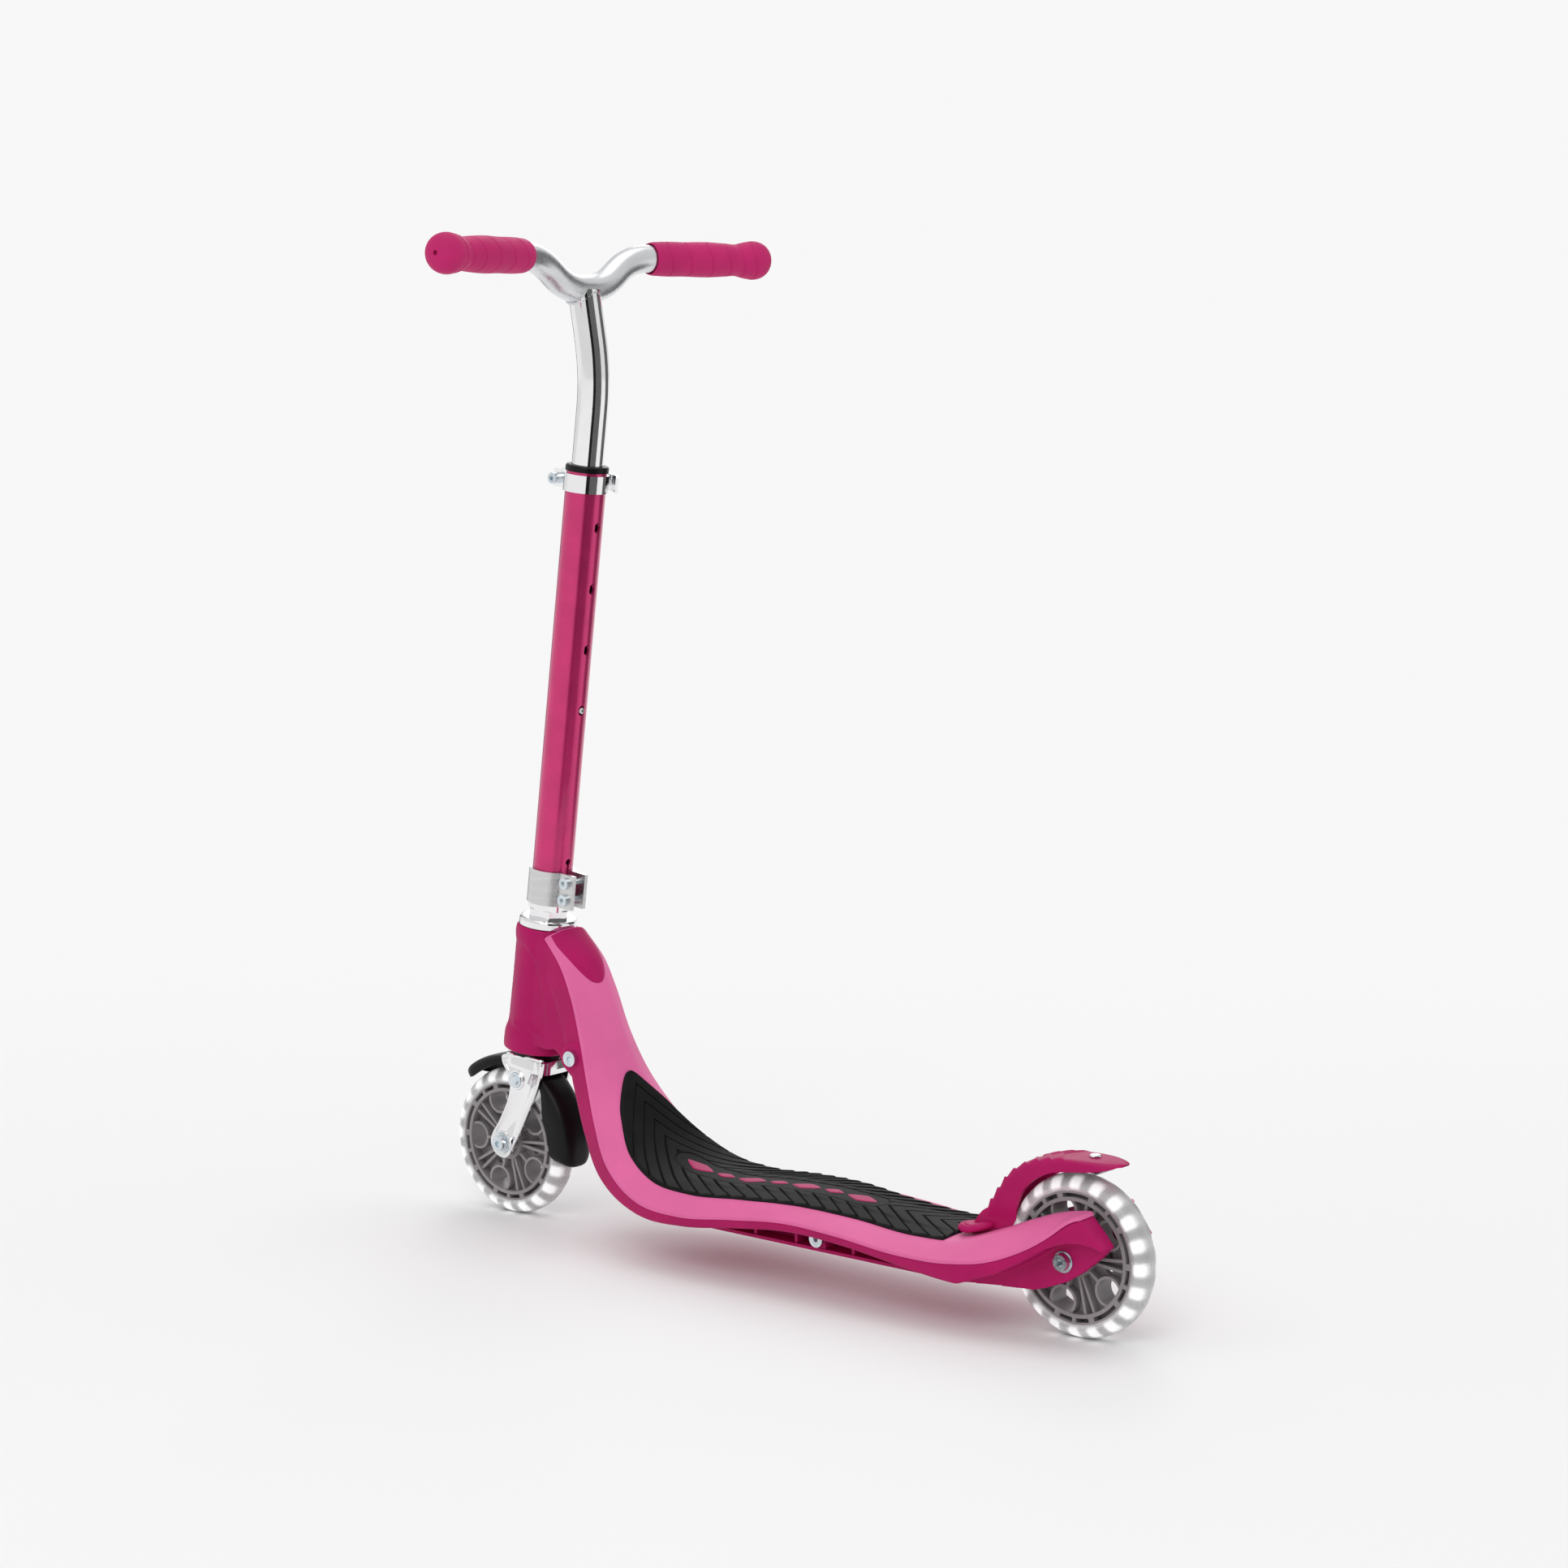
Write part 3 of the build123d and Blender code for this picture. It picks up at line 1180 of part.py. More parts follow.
with BuildPart() as brake_spring:
    with BuildSketch(side_plane(6)):
        with Locations(PIVOT):
            Circle(5.4)
            Circle(3.2, mode=Mode.SUBTRACT)
    extrude(amount=12)
brake_spring.part.label = "brake_spring"
export_step(brake_spring.part, "parts/brake_spring.step")
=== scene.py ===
import math

import bmesh
import bpy
import numpy as np
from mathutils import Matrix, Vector


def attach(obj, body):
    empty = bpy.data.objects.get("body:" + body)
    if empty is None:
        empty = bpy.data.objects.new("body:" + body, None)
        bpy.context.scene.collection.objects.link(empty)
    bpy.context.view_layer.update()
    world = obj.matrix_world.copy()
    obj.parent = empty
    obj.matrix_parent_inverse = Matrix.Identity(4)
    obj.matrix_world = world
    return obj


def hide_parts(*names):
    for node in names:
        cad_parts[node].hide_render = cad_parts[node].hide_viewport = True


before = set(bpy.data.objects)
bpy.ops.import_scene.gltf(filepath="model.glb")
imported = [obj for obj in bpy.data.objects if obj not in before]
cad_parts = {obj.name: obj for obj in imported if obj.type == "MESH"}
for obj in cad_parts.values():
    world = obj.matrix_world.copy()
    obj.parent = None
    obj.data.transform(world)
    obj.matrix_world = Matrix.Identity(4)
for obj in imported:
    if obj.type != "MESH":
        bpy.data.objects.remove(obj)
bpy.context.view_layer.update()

MM = 0.001

# ---------------------------------------------------------------- driving sizes
FRONT_AXLE = (282.0, 60.5)
REAR_AXLE = (-282.0, 60.5)
WHEEL_SLOT = 16.0
SKIN = 2.5
RAKE = math.radians(7.27)
STEER_FOOT = np.array([275.7, 0.0, 0.0])
STEER_UP = np.array([-math.sin(RAKE), 0.0, math.cos(RAKE)])
STEER_FORWARD = np.array([math.cos(RAKE), 0.0, math.sin(RAKE)])
LEFT = np.array([0.0, 1.0, 0.0])

# the deck's stations, as in the CAD part: ridge x, ridge z, half width at the rim,
# half width of the flat middle, drop from ridge to rim, depth of the side
STATIONS = np.array([
    (-324, 101, 33, 17, 1.0, 60),
    (-297, 100, 36, 17, 3.0, 60),
    (-275, 95.5, 41, 18, 13.0, 52),
    (-250, 86, 47, 22, 18.0, 40),
    (-225, 75, 54, 30, 17.0, 26),
    (-200, 66.5, 59, 36, 12.0, 18),
    (-160, 63, 60, 37, 9.5, 12),
    (-100, 66, 60, 36, 8.0, 10),
    (-50, 68.5, 61, 42, 9.0, 10),
    (0, 66.5, 64, 48, 12.0, 10),
    (50, 63.2, 67, 51, 14.0, 11),
    (88, 67.5, 65, 50, 15.0, 14),
    (117, 83, 58, 43, 15.0, 18),
    (138, 106, 47, 29, 14.0, 20),
    (157, 134, 36, 14, 12.0, 22),
    (172, 164, 29, 12, 10.0, 23),
    (187, 199, 26, 12, 8.0, 24),
    (199, 222, 25, 12, 8.0, 26),
    (219, 244, 23, 12, 8.0, 26),
], float)
MIDDLE_CROWN = 1.5


# ---------------------------------------------------------------- curves
def smooth(knots, values, at):
    """Values at the places asked for, on a smooth curve through the knots."""
    knots, values, at = np.asarray(knots, float), np.asarray(values, float), np.asarray(at, float)
    slope = np.gradient(values, knots, axis=0)
    i = np.clip(np.searchsorted(knots, at) - 1, 0, len(knots) - 2)
    step = knots[i + 1] - knots[i]
    t = (at - knots[i]) / step
    shape = (-1,) + (1,) * (values.ndim - 1)
    t, step = t.reshape(shape), step.reshape(shape)
    a, b, ma, mb = values[i], values[i + 1], slope[i] * step, slope[i + 1] * step
    return ((2 * t**3 - 3 * t**2 + 1) * a + (t**3 - 2 * t**2 + t) * ma
            + (-2 * t**3 + 3 * t**2) * b + (t**3 - t**2) * mb)


def path_lengths(points):
    steps = np.linalg.norm(np.diff(np.asarray(points, float), axis=0), axis=1)
    return np.concatenate([[0.0], np.cumsum(steps)])


def smooth_path(points, count):
    """Evenly spread points on a smooth curve through a few given ones."""
    knots = path_lengths(points)
    return smooth(knots, points, np.linspace(0, knots[-1], count))


def step_up(value, low, high):
    """0 below low, 1 above high, smooth between."""
    t = np.clip((value - low) / (high - low), 0, 1)
    return t * t * (3 - 2 * t)


def rounded_outline(points, rounds=2):
    """Cuts the corners of an outline again and again, which rounds them."""
    points = np.asarray(points, float)
    for _ in range(rounds):
        after = np.roll(points, -1, axis=0)
        points = np.stack([points * 0.78 + after * 0.22, points * 0.22 + after * 0.78], 1).reshape(-1, 2)
    return points


# ---------------------------------------------------------------- mesh making
def new_piece(name, vertices, faces):
    mesh = bpy.data.meshes.new(name)
    mesh.from_pydata([tuple(v) for v in np.asarray(vertices) * MM], [], faces)
    mesh.validate()
    piece = bpy.data.objects.new(name, mesh)
    bpy.context.scene.collection.objects.link(piece)
    return piece


def outward(piece):
    """Makes all the faces of a closed mesh look outwards."""
    shape = bmesh.new()
    shape.from_mesh(piece.data)
    bmesh.ops.remove_doubles(shape, verts=shape.verts, dist=1e-6)
    bmesh.ops.recalc_face_normals(shape, faces=shape.faces)
    shape.to_mesh(piece.data)
    shape.free()
    return piece


def loft(name, rings):
    """A closed solid through rings that have the same number of points each."""
    rings = np.asarray(rings, float)
    count, around = rings.shape[:2]
    faces = []
    for i in range(count - 1):
        for j in range(around):
            k = (j + 1) % around
            faces.append((i * around + j, i * around + k, (i + 1) * around + k, (i + 1) * around + j))
    faces.append(tuple(reversed(range(around))))
    faces.append(tuple((count - 1) * around + j for j in range(around)))
    return outward(new_piece(name, rings.reshape(-1, 3), faces))


def slab(name, top, bottom):
    """A closed solid between two grids of points, joined round their edges."""
    rows, columns = top.shape[:2]
    size = rows * columns
    faces = []
    for i in range(rows - 1):
        for j in range(columns - 1):
            a, b = i * columns + j, i * columns + j + 1
            c, d = b + columns, a + columns
            faces.append((a, b, c, d))
            faces.append((size + d, size + c, size + b, size + a))
    edge = [j for j in range(columns)]
    edge += [i * columns + columns - 1 for i in range(1, rows)]
    edge += [(rows - 1) * columns + j for j in range(columns - 2, -1, -1)]
    edge += [i * columns for i in range(rows - 2, 0, -1)]
    for a, b in zip(edge, edge[1:] + edge[:1]):
        faces.append((b, a, size + a, size + b))
    return outward(new_piece(name, np.concatenate([top.reshape(-1, 3), bottom.reshape(-1, 3)]), faces))


def revolved(name, profile, origin, axis, segments=96):
    """A closed solid of revolution. The profile is a closed list of (radius, distance along)."""
    origin, axis = np.asarray(origin, float), np.asarray(axis, float)
    side = np.cross(axis, [0.3, 0.2, 0.9])
    side /= np.linalg.norm(side)
    other = np.cross(axis, side)
    profile = np.asarray(profile, float)
    turn = np.arange(segments) * 2 * math.pi / segments
    spokes = np.cos(turn)[:, None] * side + np.sin(turn)[:, None] * other
    points = origin + profile[None, :, 1:] * axis + profile[None, :, :1] * spokes[:, None, :]
    count = len(profile)
    faces = []
    for i in range(segments):
        k = (i + 1) % segments
        for j in range(count):
            m = (j + 1) % count
            faces.append((i * count + j, i * count + m, k * count + m, k * count + j))
    return outward(new_piece(name, points.reshape(-1, 3), faces))


def prism(name, outline, low, high):
    """An outline in the side view, drawn with x and z, made solid from y = low to y = high."""
    outline = np.asarray(outline, float)
    rings = [np.stack([outline[:, 0], np.full(len(outline), y), outline[:, 1]], 1) for y in (low, high)]
    return loft(name, rings)


def joined(name, pieces):
    """One mesh that holds all the pieces."""
    shape = bmesh.new()
    for piece in pieces:
        shape.from_mesh(piece.data)
        bpy.data.objects.remove(piece)
    mesh = bpy.data.meshes.new(name)
    shape.to_mesh(mesh)
    shape.free()
    whole = bpy.data.objects.new(name, mesh)
    bpy.context.scene.collection.objects.link(whole)
    return whole


def apply_modifiers(piece):
    graph = bpy.context.evaluated_depsgraph_get()
    mesh = bpy.data.meshes.new_from_object(piece.evaluated_get(graph))
    piece.modifiers.clear()
    piece.data = mesh
    return piece


def cut(piece, *cutters):
    """Takes the cutters out of a piece and throws them away."""
    for cutter in cutters:
        tool = piece.modifiers.new("cut", "BOOLEAN")
        tool.operation = "DIFFERENCE"
        tool.solver = "EXACT"
        tool.object = cutter
        apply_modifiers(piece)
        bpy.data.objects.remove(cutter)
    return piece


def melt(piece, voxel, passes=6):
    """Melts overlapping solids into one skin with softly rounded inside and outside corners."""
    remesh = piece.modifiers.new("melt", "REMESH")
    remesh.mode = "VOXEL"
    remesh.voxel_size = voxel * MM
    relax = piece.modifiers.new("relax", "SMOOTH")
    relax.factor = 0.5
    relax.iterations = passes
    return apply_modifiers(piece)


def bevelled(piece, width, segments=2, angle=35):
    tool = piece.modifiers.new("bevel", "BEVEL")
    tool.width = width * MM
    tool.segments = segments
    tool.limit_method = "ANGLE"
    tool.angle_limit = math.radians(angle)
    tool.harden_normals = False
    return apply_modifiers(piece)


def shaded(piece, angle=40):
    piece.data.shade_smooth()
    piece.data.set_sharp_from_angle(angle=math.radians(angle))
    return piece


def finished(piece, body, slot, replaces=(), angle=40):
    """Gives a new piece its shading, finish and body, and hides the CAD nodes that it stands for."""
    shaded(piece, angle)
    piece.data.materials.clear()
    piece.data.materials.append(FINISHES[slot])
    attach(piece, body)
    if replaces:
        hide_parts(*replaces)
    return piece


# ---------------------------------------------------------------- finishes
def shader(name):
    material = bpy.data.materials.new(name)
    material.use_nodes = True
    return material, material.node_tree, material.node_tree.nodes["Principled BSDF"]


def noise(tree, scale, detail=3.0, stretch=(1, 1, 1)):
    """A noise over the piece's own coordinates, which go with it when it moves."""
    place = tree.nodes.new("ShaderNodeTexCoord")
    mapping = tree.nodes.new("ShaderNodeMapping")
    mapping.inputs["Scale"].default_value = stretch
    texture = tree.nodes.new("ShaderNodeTexNoise")
    texture.inputs["Scale"].default_value = scale
    texture.inputs["Detail"].default_value = detail
    tree.links.new(place.outputs["Object"], mapping.inputs["Vector"])
    tree.links.new(mapping.outputs["Vector"], texture.inputs["Vector"])
    return texture.outputs["Fac"]


def ramp(tree, value, *stops):
    """A colour ramp with (place, grey or colour) stops."""
    made = tree.nodes.new("ShaderNodeValToRGB")
    while len(made.color_ramp.elements) < len(stops):
        made.color_ramp.elements.new(0.5)
    for element, (place, tone) in zip(made.color_ramp.elements, stops):
        element.position = place
        element.color = (tone, tone, tone, 1) if isinstance(tone, (int, float)) else (*tone, 1)
    tree.links.new(value, made.inputs["Fac"])
    return made.outputs["Color"]


def add_bump(tree, bsdf, height, distance, strength=1.0):
    bump = tree.nodes.new("ShaderNodeBump")
    bump.inputs["Strength"].default_value = strength
    bump.inputs["Distance"].default_value = distance * MM
    tree.links.new(height, bump.inputs["Height"])
    tree.links.new(bump.outputs["Normal"], bsdf.inputs["Normal"])


def tones(colour, spread):
    return tuple(c * (1 - spread) for c in colour), tuple(min(1, c * (1 + spread)) for c in colour)


SOCKETS = {"metallic": "Metallic", "specular": "Specular IOR Level", "coat": "Coat Weight",
           "coat_rough": "Coat Roughness"}


def surface(name, colour, rough, spread=0.06, patch=30, grain=1100, depth=0.03, rough_spread=0.06,
            stretch=(1, 1, 1), **constants):
    """A finish with patchy colour and gloss and a fine grain, at the scale of the real one."""
    material, tree, bsdf = shader(name)
    low, high = tones(colour, spread)
    patches = noise(tree, patch, 4.0, stretch)
    fine = noise(tree, grain, 2.0, stretch)
    tree.links.new(ramp(tree, patches, (0.35, low), (0.65, high)), bsdf.inputs["Base Color"])
    tree.links.new(ramp(tree, fine, (0.3, rough - rough_spread), (0.7, rough + rough_spread)),
                   bsdf.inputs["Roughness"])
    add_bump(tree, bsdf, fine, depth)
    for socket, value in constants.items():
        bsdf.inputs[SOCKETS[socket]].default_value = value
    return material


def ramp_value(tree, value, low, high):
    """0 below low, 1 above high, smooth between, as a node."""
    node = tree.nodes.new("ShaderNodeMapRange")
    node.interpolation_type = "SMOOTHSTEP"
    node.inputs["From Min"].default_value = low
    node.inputs["From Max"].default_value = high
    tree.links.new(value, node.inputs["Value"])
    return node.outputs["Result"]


def tyre_painted_glow(name):
    """Clear cast urethane with twenty soft patches round its middle that are painted lighter and made to
    glow: painted light for light shining through the tyre over the hub.
    """
    material, tree, bsdf = shader(name)
    place = tree.nodes.new("ShaderNodeTexCoord")
    split = tree.nodes.new("ShaderNodeSeparateXYZ")
    tree.links.new(place.outputs["Object"], split.inputs["Vector"])

    def maths(operation, first, second=None):
        node = tree.nodes.new("ShaderNodeMath")
        node.operation = operation
        for socket, value in zip(node.inputs, (first, second)):
            if value is None:
                continue
            if isinstance(value, (int, float)):
                socket.default_value = value
            else:
                tree.links.new(value, socket)
        return node.outputs["Value"]

    # both wheels are the same distance from the middle, so the size of x serves for both
    along = maths("SUBTRACT", maths("ABSOLUTE", split.outputs["X"]), FRONT_AXLE[0] * MM)
    up = maths("SUBTRACT", split.outputs["Z"], FRONT_AXLE[1] * MM)
    turn = maths("ARCTAN2", up, along)
    wave = maths("COSINE", maths("MULTIPLY", turn, 20.0))
    radius = maths("SQRT", maths("ADD", maths("MULTIPLY", along, along), maths("MULTIPLY", up, up)))
    blur = noise(tree, 70, 2.0)
    lit = maths("ADD", wave, maths("MULTIPLY", maths("SUBTRACT", blur, 0.5), 0.6))
    inner = ramp_value(tree, radius, 0.0475, 0.0535)
    outer = ramp_value(tree, radius, 0.0622, 0.0572)
    band = maths("MULTIPLY", inner, outer)
    patch = maths("MULTIPLY", ramp_value(tree, lit, -1.3, 0.9), band)
    # painted highlight and glow: the patches get a lighter base colour and an emission, standing in for light
    # coming through the clear tyre
    tree.links.new(ramp(tree, patch, (0.0, (0.56, 0.555, 0.56)), (0.8, (0.97, 0.98, 0.98))),
                   bsdf.inputs["Base Color"])
    tree.links.new(ramp(tree, patch, (0.3, 0.0), (0.95, 0.6)), bsdf.inputs["Emission Color"])
    bsdf.inputs["Emission Strength"].default_value = 0.7
    bsdf.inputs["Transmission Weight"].default_value = 0.3
    bsdf.inputs["IOR"].default_value = 1.45
    bsdf.inputs["Coat Weight"].default_value = 0.3
    scuff = noise(tree, 500, 3.0)
    tree.links.new(ramp(tree, scuff, (0.3, 0.16), (0.7, 0.3)), bsdf.inputs["Roughness"])
    add_bump(tree, bsdf, scuff, 0.02)
    return material


FINISHES = {
    "shell_dark": surface("shell_dark", (0.43, 0.005, 0.110), 0.45, grain=1500, specular=0.15),
    "shell_light": surface("shell_light", (0.77, 0.145, 0.365), 0.45, spread=0.03, grain=1500, specular=0.2),
    "pad_rubber": surface("pad_rubber", (0.007, 0.0075, 0.007), 0.6, spread=0.3, grain=2200, depth=0.05,
                          specular=0.12),
    "black_plastic": surface("black_plastic", (0.004, 0.004, 0.0045), 0.34, spread=0.3, grain=1500,
                             specular=0.2),
    "grip_rubber": surface("grip_rubber", (0.50, 0.018, 0.135), 0.55, grain=2400, depth=0.05, specular=0.15),
    "column_paint": surface("column_paint", (0.60, 0.025, 0.16), 0.27, patch=60, grain=5000, depth=0.003,
                            metallic=0.7, coat=0.5, coat_rough=0.06),
    "polished": surface("polished", (0.88, 0.88, 0.89), 0.08, spread=0.03, depth=0.004,
                        rough_spread=0.03, metallic=1.0),
    "satin": surface("satin", (0.74, 0.75, 0.77), 0.3, spread=0.04, patch=25, grain=900, depth=0.006,
                     stretch=(2, 0.3, 2), metallic=1.0),
    "brushed": surface("brushed", (0.66, 0.66, 0.66), 0.33, spread=0.05, grain=700, depth=0.008,
                       stretch=(0.5, 0.5, 8), rough_spread=0.1, metallic=1.0),
    "zinc": surface("zinc", (0.66, 0.72, 0.76), 0.24, spread=0.1, patch=200, depth=0.01, metallic=1.0),
    "steel_grey": surface("steel_grey", (0.3, 0.3, 0.31), 0.4, spread=0.1, depth=0.01, metallic=1.0),
    "bearing_steel": surface("bearing_steel", (0.5, 0.5, 0.52), 0.25, depth=0.004, metallic=1.0),
    "hub_plastic": surface("hub_plastic", (0.27, 0.25, 0.255), 0.34, spread=0.1, grain=900, depth=0.01),
    "tyre_clear": tyre_painted_glow("tyre_clear"),
    "copper_coil": surface("copper_coil", (0.62, 0.24, 0.1), 0.35, stretch=(1, 30, 1), metallic=1.0),
}

CAD_FINISHES = {
    "shell_dark": ("keel_tray",),
    "black_plastic": ("lower_seal", "column_bush", "tube_guide"),
    "column_paint": ("steering_column",),
    "polished": ("upper_tube", "cup_washer", "adjusting_nut", "lock_nut", "clamp_band", "clamp_lever",
                 "steerer_tube", "snap_button", "brake_rivet"),
    "satin": ("handlebar",),
    "brushed": ("base_clamp",),
    "zinc": ("neck_bolt", "keel_bolt", "front_axle_bolt", "front_axle_nut", "rear_axle_bolt",
             "rear_axle_nut", "mudguard_screws", "base_clamp_screws", "clamp_bolt", "brake_pivot_pin",
             "front_spacers", "rear_spacers"),
    "steel_grey": ("inner_beam", "head_tube", "lower_cup", "upper_cup", "snap_spring", "brake_plate",
                   "brake_spring", "front_magnet_core", "rear_magnet_core"),
    "bearing_steel": ("lower_bearing", "upper_bearing", "front_bearings", "rear_bearings"),
    "hub_plastic": ("front_hub", "rear_hub"),
    "tyre_clear": ("front_tyre", "rear_tyre"),
    "copper_coil": ("front_generator_coil", "rear_generator_coil"),
}
for slot, names in CAD_FINISHES.items():
    for name in names:
        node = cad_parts[name]
        node.data.materials.clear()
        node.data.materials.append(FINISHES[slot])

# ---------------------------------------------------------------- deck surface
KNOTS = path_lengths(STATIONS[:, :2])
DECK_LENGTH = KNOTS[-1]


def deck(at):
    """Rows of x, z, half width, flat half width, drop and depth at distances along the ridge."""
    return smooth(KNOTS, STATIONS, at)


def deck_point(at, y, height):
    """Points at distances along the ridge, across it, and square off it."""
    at, y, height = np.broadcast_arrays(at, y, height)
    flat = at.ravel()
    ridge = deck(flat)[:, :2]
    ahead = deck(np.minimum(flat + 0.5, DECK_LENGTH))[:, :2] - deck(np.maximum(flat - 0.5, 0))[:, :2]
    ahead /= np.linalg.norm(ahead, axis=1)[:, None]
    h = height.ravel()
    points = np.stack([ridge[:, 0] - ahead[:, 1] * h, y.ravel(), ridge[:, 1] + ahead[:, 0] * h], 1)
    return points.reshape(*at.shape, 3)


def crown(y, half, flat, drop):
    """How far the deck's top lies below its ridge at y."""
    size = np.abs(y)
    middle = MIDDLE_CROWN * np.minimum(size / flat, 1) ** 2
    out = np.clip((size - flat) / (half - flat), 0, 1)
    return -middle - (drop - MIDDLE_CROWN) * out ** 1.2


def distance_of(x):
    """The distance along the ridge of a place given by its x."""
    places = np.linspace(0, DECK_LENGTH, 2000)
    return np.interp(x, deck(places)[:, 0], places)


RIM_ROUND = 1.3


def skin_rings(count=300, across=56):
    """The pink skin's sections: crowned top, rounded rim, and an underside inside the moulding."""
    rings = []
    for at in np.linspace(0, DECK_LENGTH, count):
        half, flat, drop = deck(np.array([at]))[0, 2:5]
        y = np.linspace(-1, 1, across) * (half - RIM_ROUND)
        h = crown(y, half, flat, drop)
        corner = np.radians([55, 30, 8])
        rim_y = half - RIM_ROUND + RIM_ROUND * np.cos(corner)
        rim_h = h[-1] - RIM_ROUND + RIM_ROUND * np.sin(corner)
        top_y = np.concatenate([-rim_y[::-1], y, rim_y])
        top_h = np.concatenate([rim_h[::-1], h, rim_h])
        under_y = np.array([1, 0.995, 0.8, 0.5, 0, -0.5, -0.8, -0.995, -1]) * half
        under_h = crown(under_y, half, flat, drop) - 2.6
        under_h[[0, -1]] = rim_h[-1] - 0.9
        rings.append(deck_point(at, np.concatenate([top_y, under_y]), np.concatenate([top_h, under_h])))
    return rings


def core_rings(count=260):
    """The dark moulding under the skin: its side band, rounded below, and flat bottom."""
    rings = []
    for at in np.linspace(0, DECK_LENGTH, count):
        half, flat, drop, depth = deck(np.array([at]))[0, 2:6]
        wide = half - 0.4
        y = np.linspace(-wide, wide, 29)
        top = crown(y, half, flat, drop) - SKIN - 0.3
        bottom = -drop - depth
        turn = np.radians([0, 30, 60, 90])
        radius = min(4.0, depth * 0.4)
        side_y = wide - 1.6 - radius + radius * np.cos(turn)
        side_h = bottom + radius - radius * np.sin(turn)
        low_y = np.linspace(side_y[-1], -side_y[-1], 21)[1:-1]
        ys = np.concatenate([y, side_y, low_y, -side_y[::-1]])
        hs = np.concatenate([top, side_h, np.full(len(low_y), bottom), side_h[::-1]])
        rings.append(deck_point(at, ys, hs))
    return rings


ARM_END = [(-288, 112), (-321, 76.5), (-312, 67), (-298, 55), (-283, 45), (-266, 38), (-250, 33),
           (-250, -20), (-380, -20), (-380, 112)]
SLOT = [(-188, 60), (-190, 49), (-214, 49), (-214, 0), (-400, 0), (-400, 150), (-188, 150)]


def arm_end():
    return prism("arm_end", ARM_END, -90, 90)


def slot_cutter():
    return prism("slot", SLOT, -WHEEL_SLOT, WHEEL_SLOT)


def steer_cylinder(name, radius, low, high):
    return revolved(name, [(0.01, low), (radius, low), (radius, high), (0.01, high)], STEER_FOOT, STEER_UP)


def deck_skin():
    piece = loft("deck_skin_visual", skin_rings())
    cut(piece, slot_cutter(), arm_end(), steer_cylinder("barrel", 25.0, 120, 290))
    return finished(piece, "frame", "shell_light", ["deck_skin"], angle=38)


BARREL = [(20.3, 142), (26.6, 142), (27.5, 143), (27.6, 147), (27.4, 155), (26.6, 159), (25.4, 162),
          (25.0, 166), (24.6, 200), (24.6, 232), (25.3, 237), (25.5, 241), (24.9, 245),
          (23.6, 246.1), (20.3, 246.1)]
WEB = [(246, 240), (231, 240), (207, 214), (188, 172), (180, 150), (178, 132), (186, 127), (197, 126),
       (203, 131), (210, 140), (214, 145.5), (219, 148), (226, 146), (238, 148), (254, 150)]
NECK_BOLT = (191.0, 145.5)
# the recess round the rear axle bolt: x, its upper edge, and y of its floor
REAR_RECESS = np.array([
    (-330, 70, 24), (-312, 77, 24), (-296, 78, 24), (-279, 73, 24), (-262, 62, 24), (-250, 55, 26),
    (-240, 49.5, 30), (-225, 44, 38), (-210, 38, 47), (-196, 34, 58),
], float)


def head_panel(points):
    """Sinks the curved panel on each side of the head and raises the crease at its foot."""
    away = points - STEER_FOOT
    forward, along, left = away @ STEER_FORWARD, away @ STEER_UP, points[:, 1]
    edge = smooth([150, 168, 185, 205, 222, 236], [-14, -25, -24, -17, -8, 4], np.clip(along, 150, 236))
    side = step_up(np.abs(left), 12, 20) * step_up(along, 158, 166) * (1 - step_up(along, 226, 236))
    sunk = -1.6 * step_up(forward - edge, -1.2, 1.2) * side * (forward < 20)
    crease = 1.7 * np.exp(-((along - 163 - 0.12 * (forward + 8)) / 1.9) ** 2)
    crease *= step_up(np.abs(left), 10, 18) * (1 - step_up(np.abs(forward + 8), 13, 20))
    lift = (sunk + crease) * np.sign(left)
    points[:, 1] += lift
    return points


def recess_cutter(side):
    x = np.linspace(REAR_RECESS[0, 0], REAR_RECESS[-1, 0], 80)
    upper, floor = smooth(REAR_RECESS[:, 0], REAR_RECESS[:, 1:], x).T
    z = np.stack([np.full(len(x), 10.0), upper], 1)
    x = np.repeat(x[:, None], 2, 1)
    near = np.stack([x, side * np.repeat(floor[:, None], 2, 1), z], 2)
    far = np.stack([x, np.full_like(x, side * 75.0), z], 2)
    return slab("recess", near, far)


def frame_body():
    body = loft("moulding", core_rings())
    cut(body, slot_cutter(), arm_end(), steer_cylinder("bore", 24.0, 100, 300))
    for side in (1, -1):
        cut(body, recess_cutter(side))
    web = prism("web", WEB, -22.8, 22.8)
    cut(web, steer_cylinder("bore", 22.0, 100, 300))
    parts = [body, web, revolved("barrel", BARREL, STEER_FOOT, STEER_UP)]
    turn = np.radians(np.arange(0, 360, 9))
    lobe = np.stack([NECK_BOLT[0] + 12.6 * np.cos(turn), NECK_BOLT[1] + 12.6 * np.sin(turn)], 1)
    parts.append(prism("lobe", lobe, -30.4, 30.4))
    whole = melt(joined("frame_body_visual", parts), 1.15)
    count = len(whole.data.vertices)
    points = np.empty(count * 3)
    whole.data.vertices.foreach_get("co", points)
    points = head_panel(points.reshape(-1, 3) / MM)
    whole.data.vertices.foreach_set("co", (points * MM).ravel())
    return finished(whole, "frame", "shell_dark", ["frame_body"], angle=60)


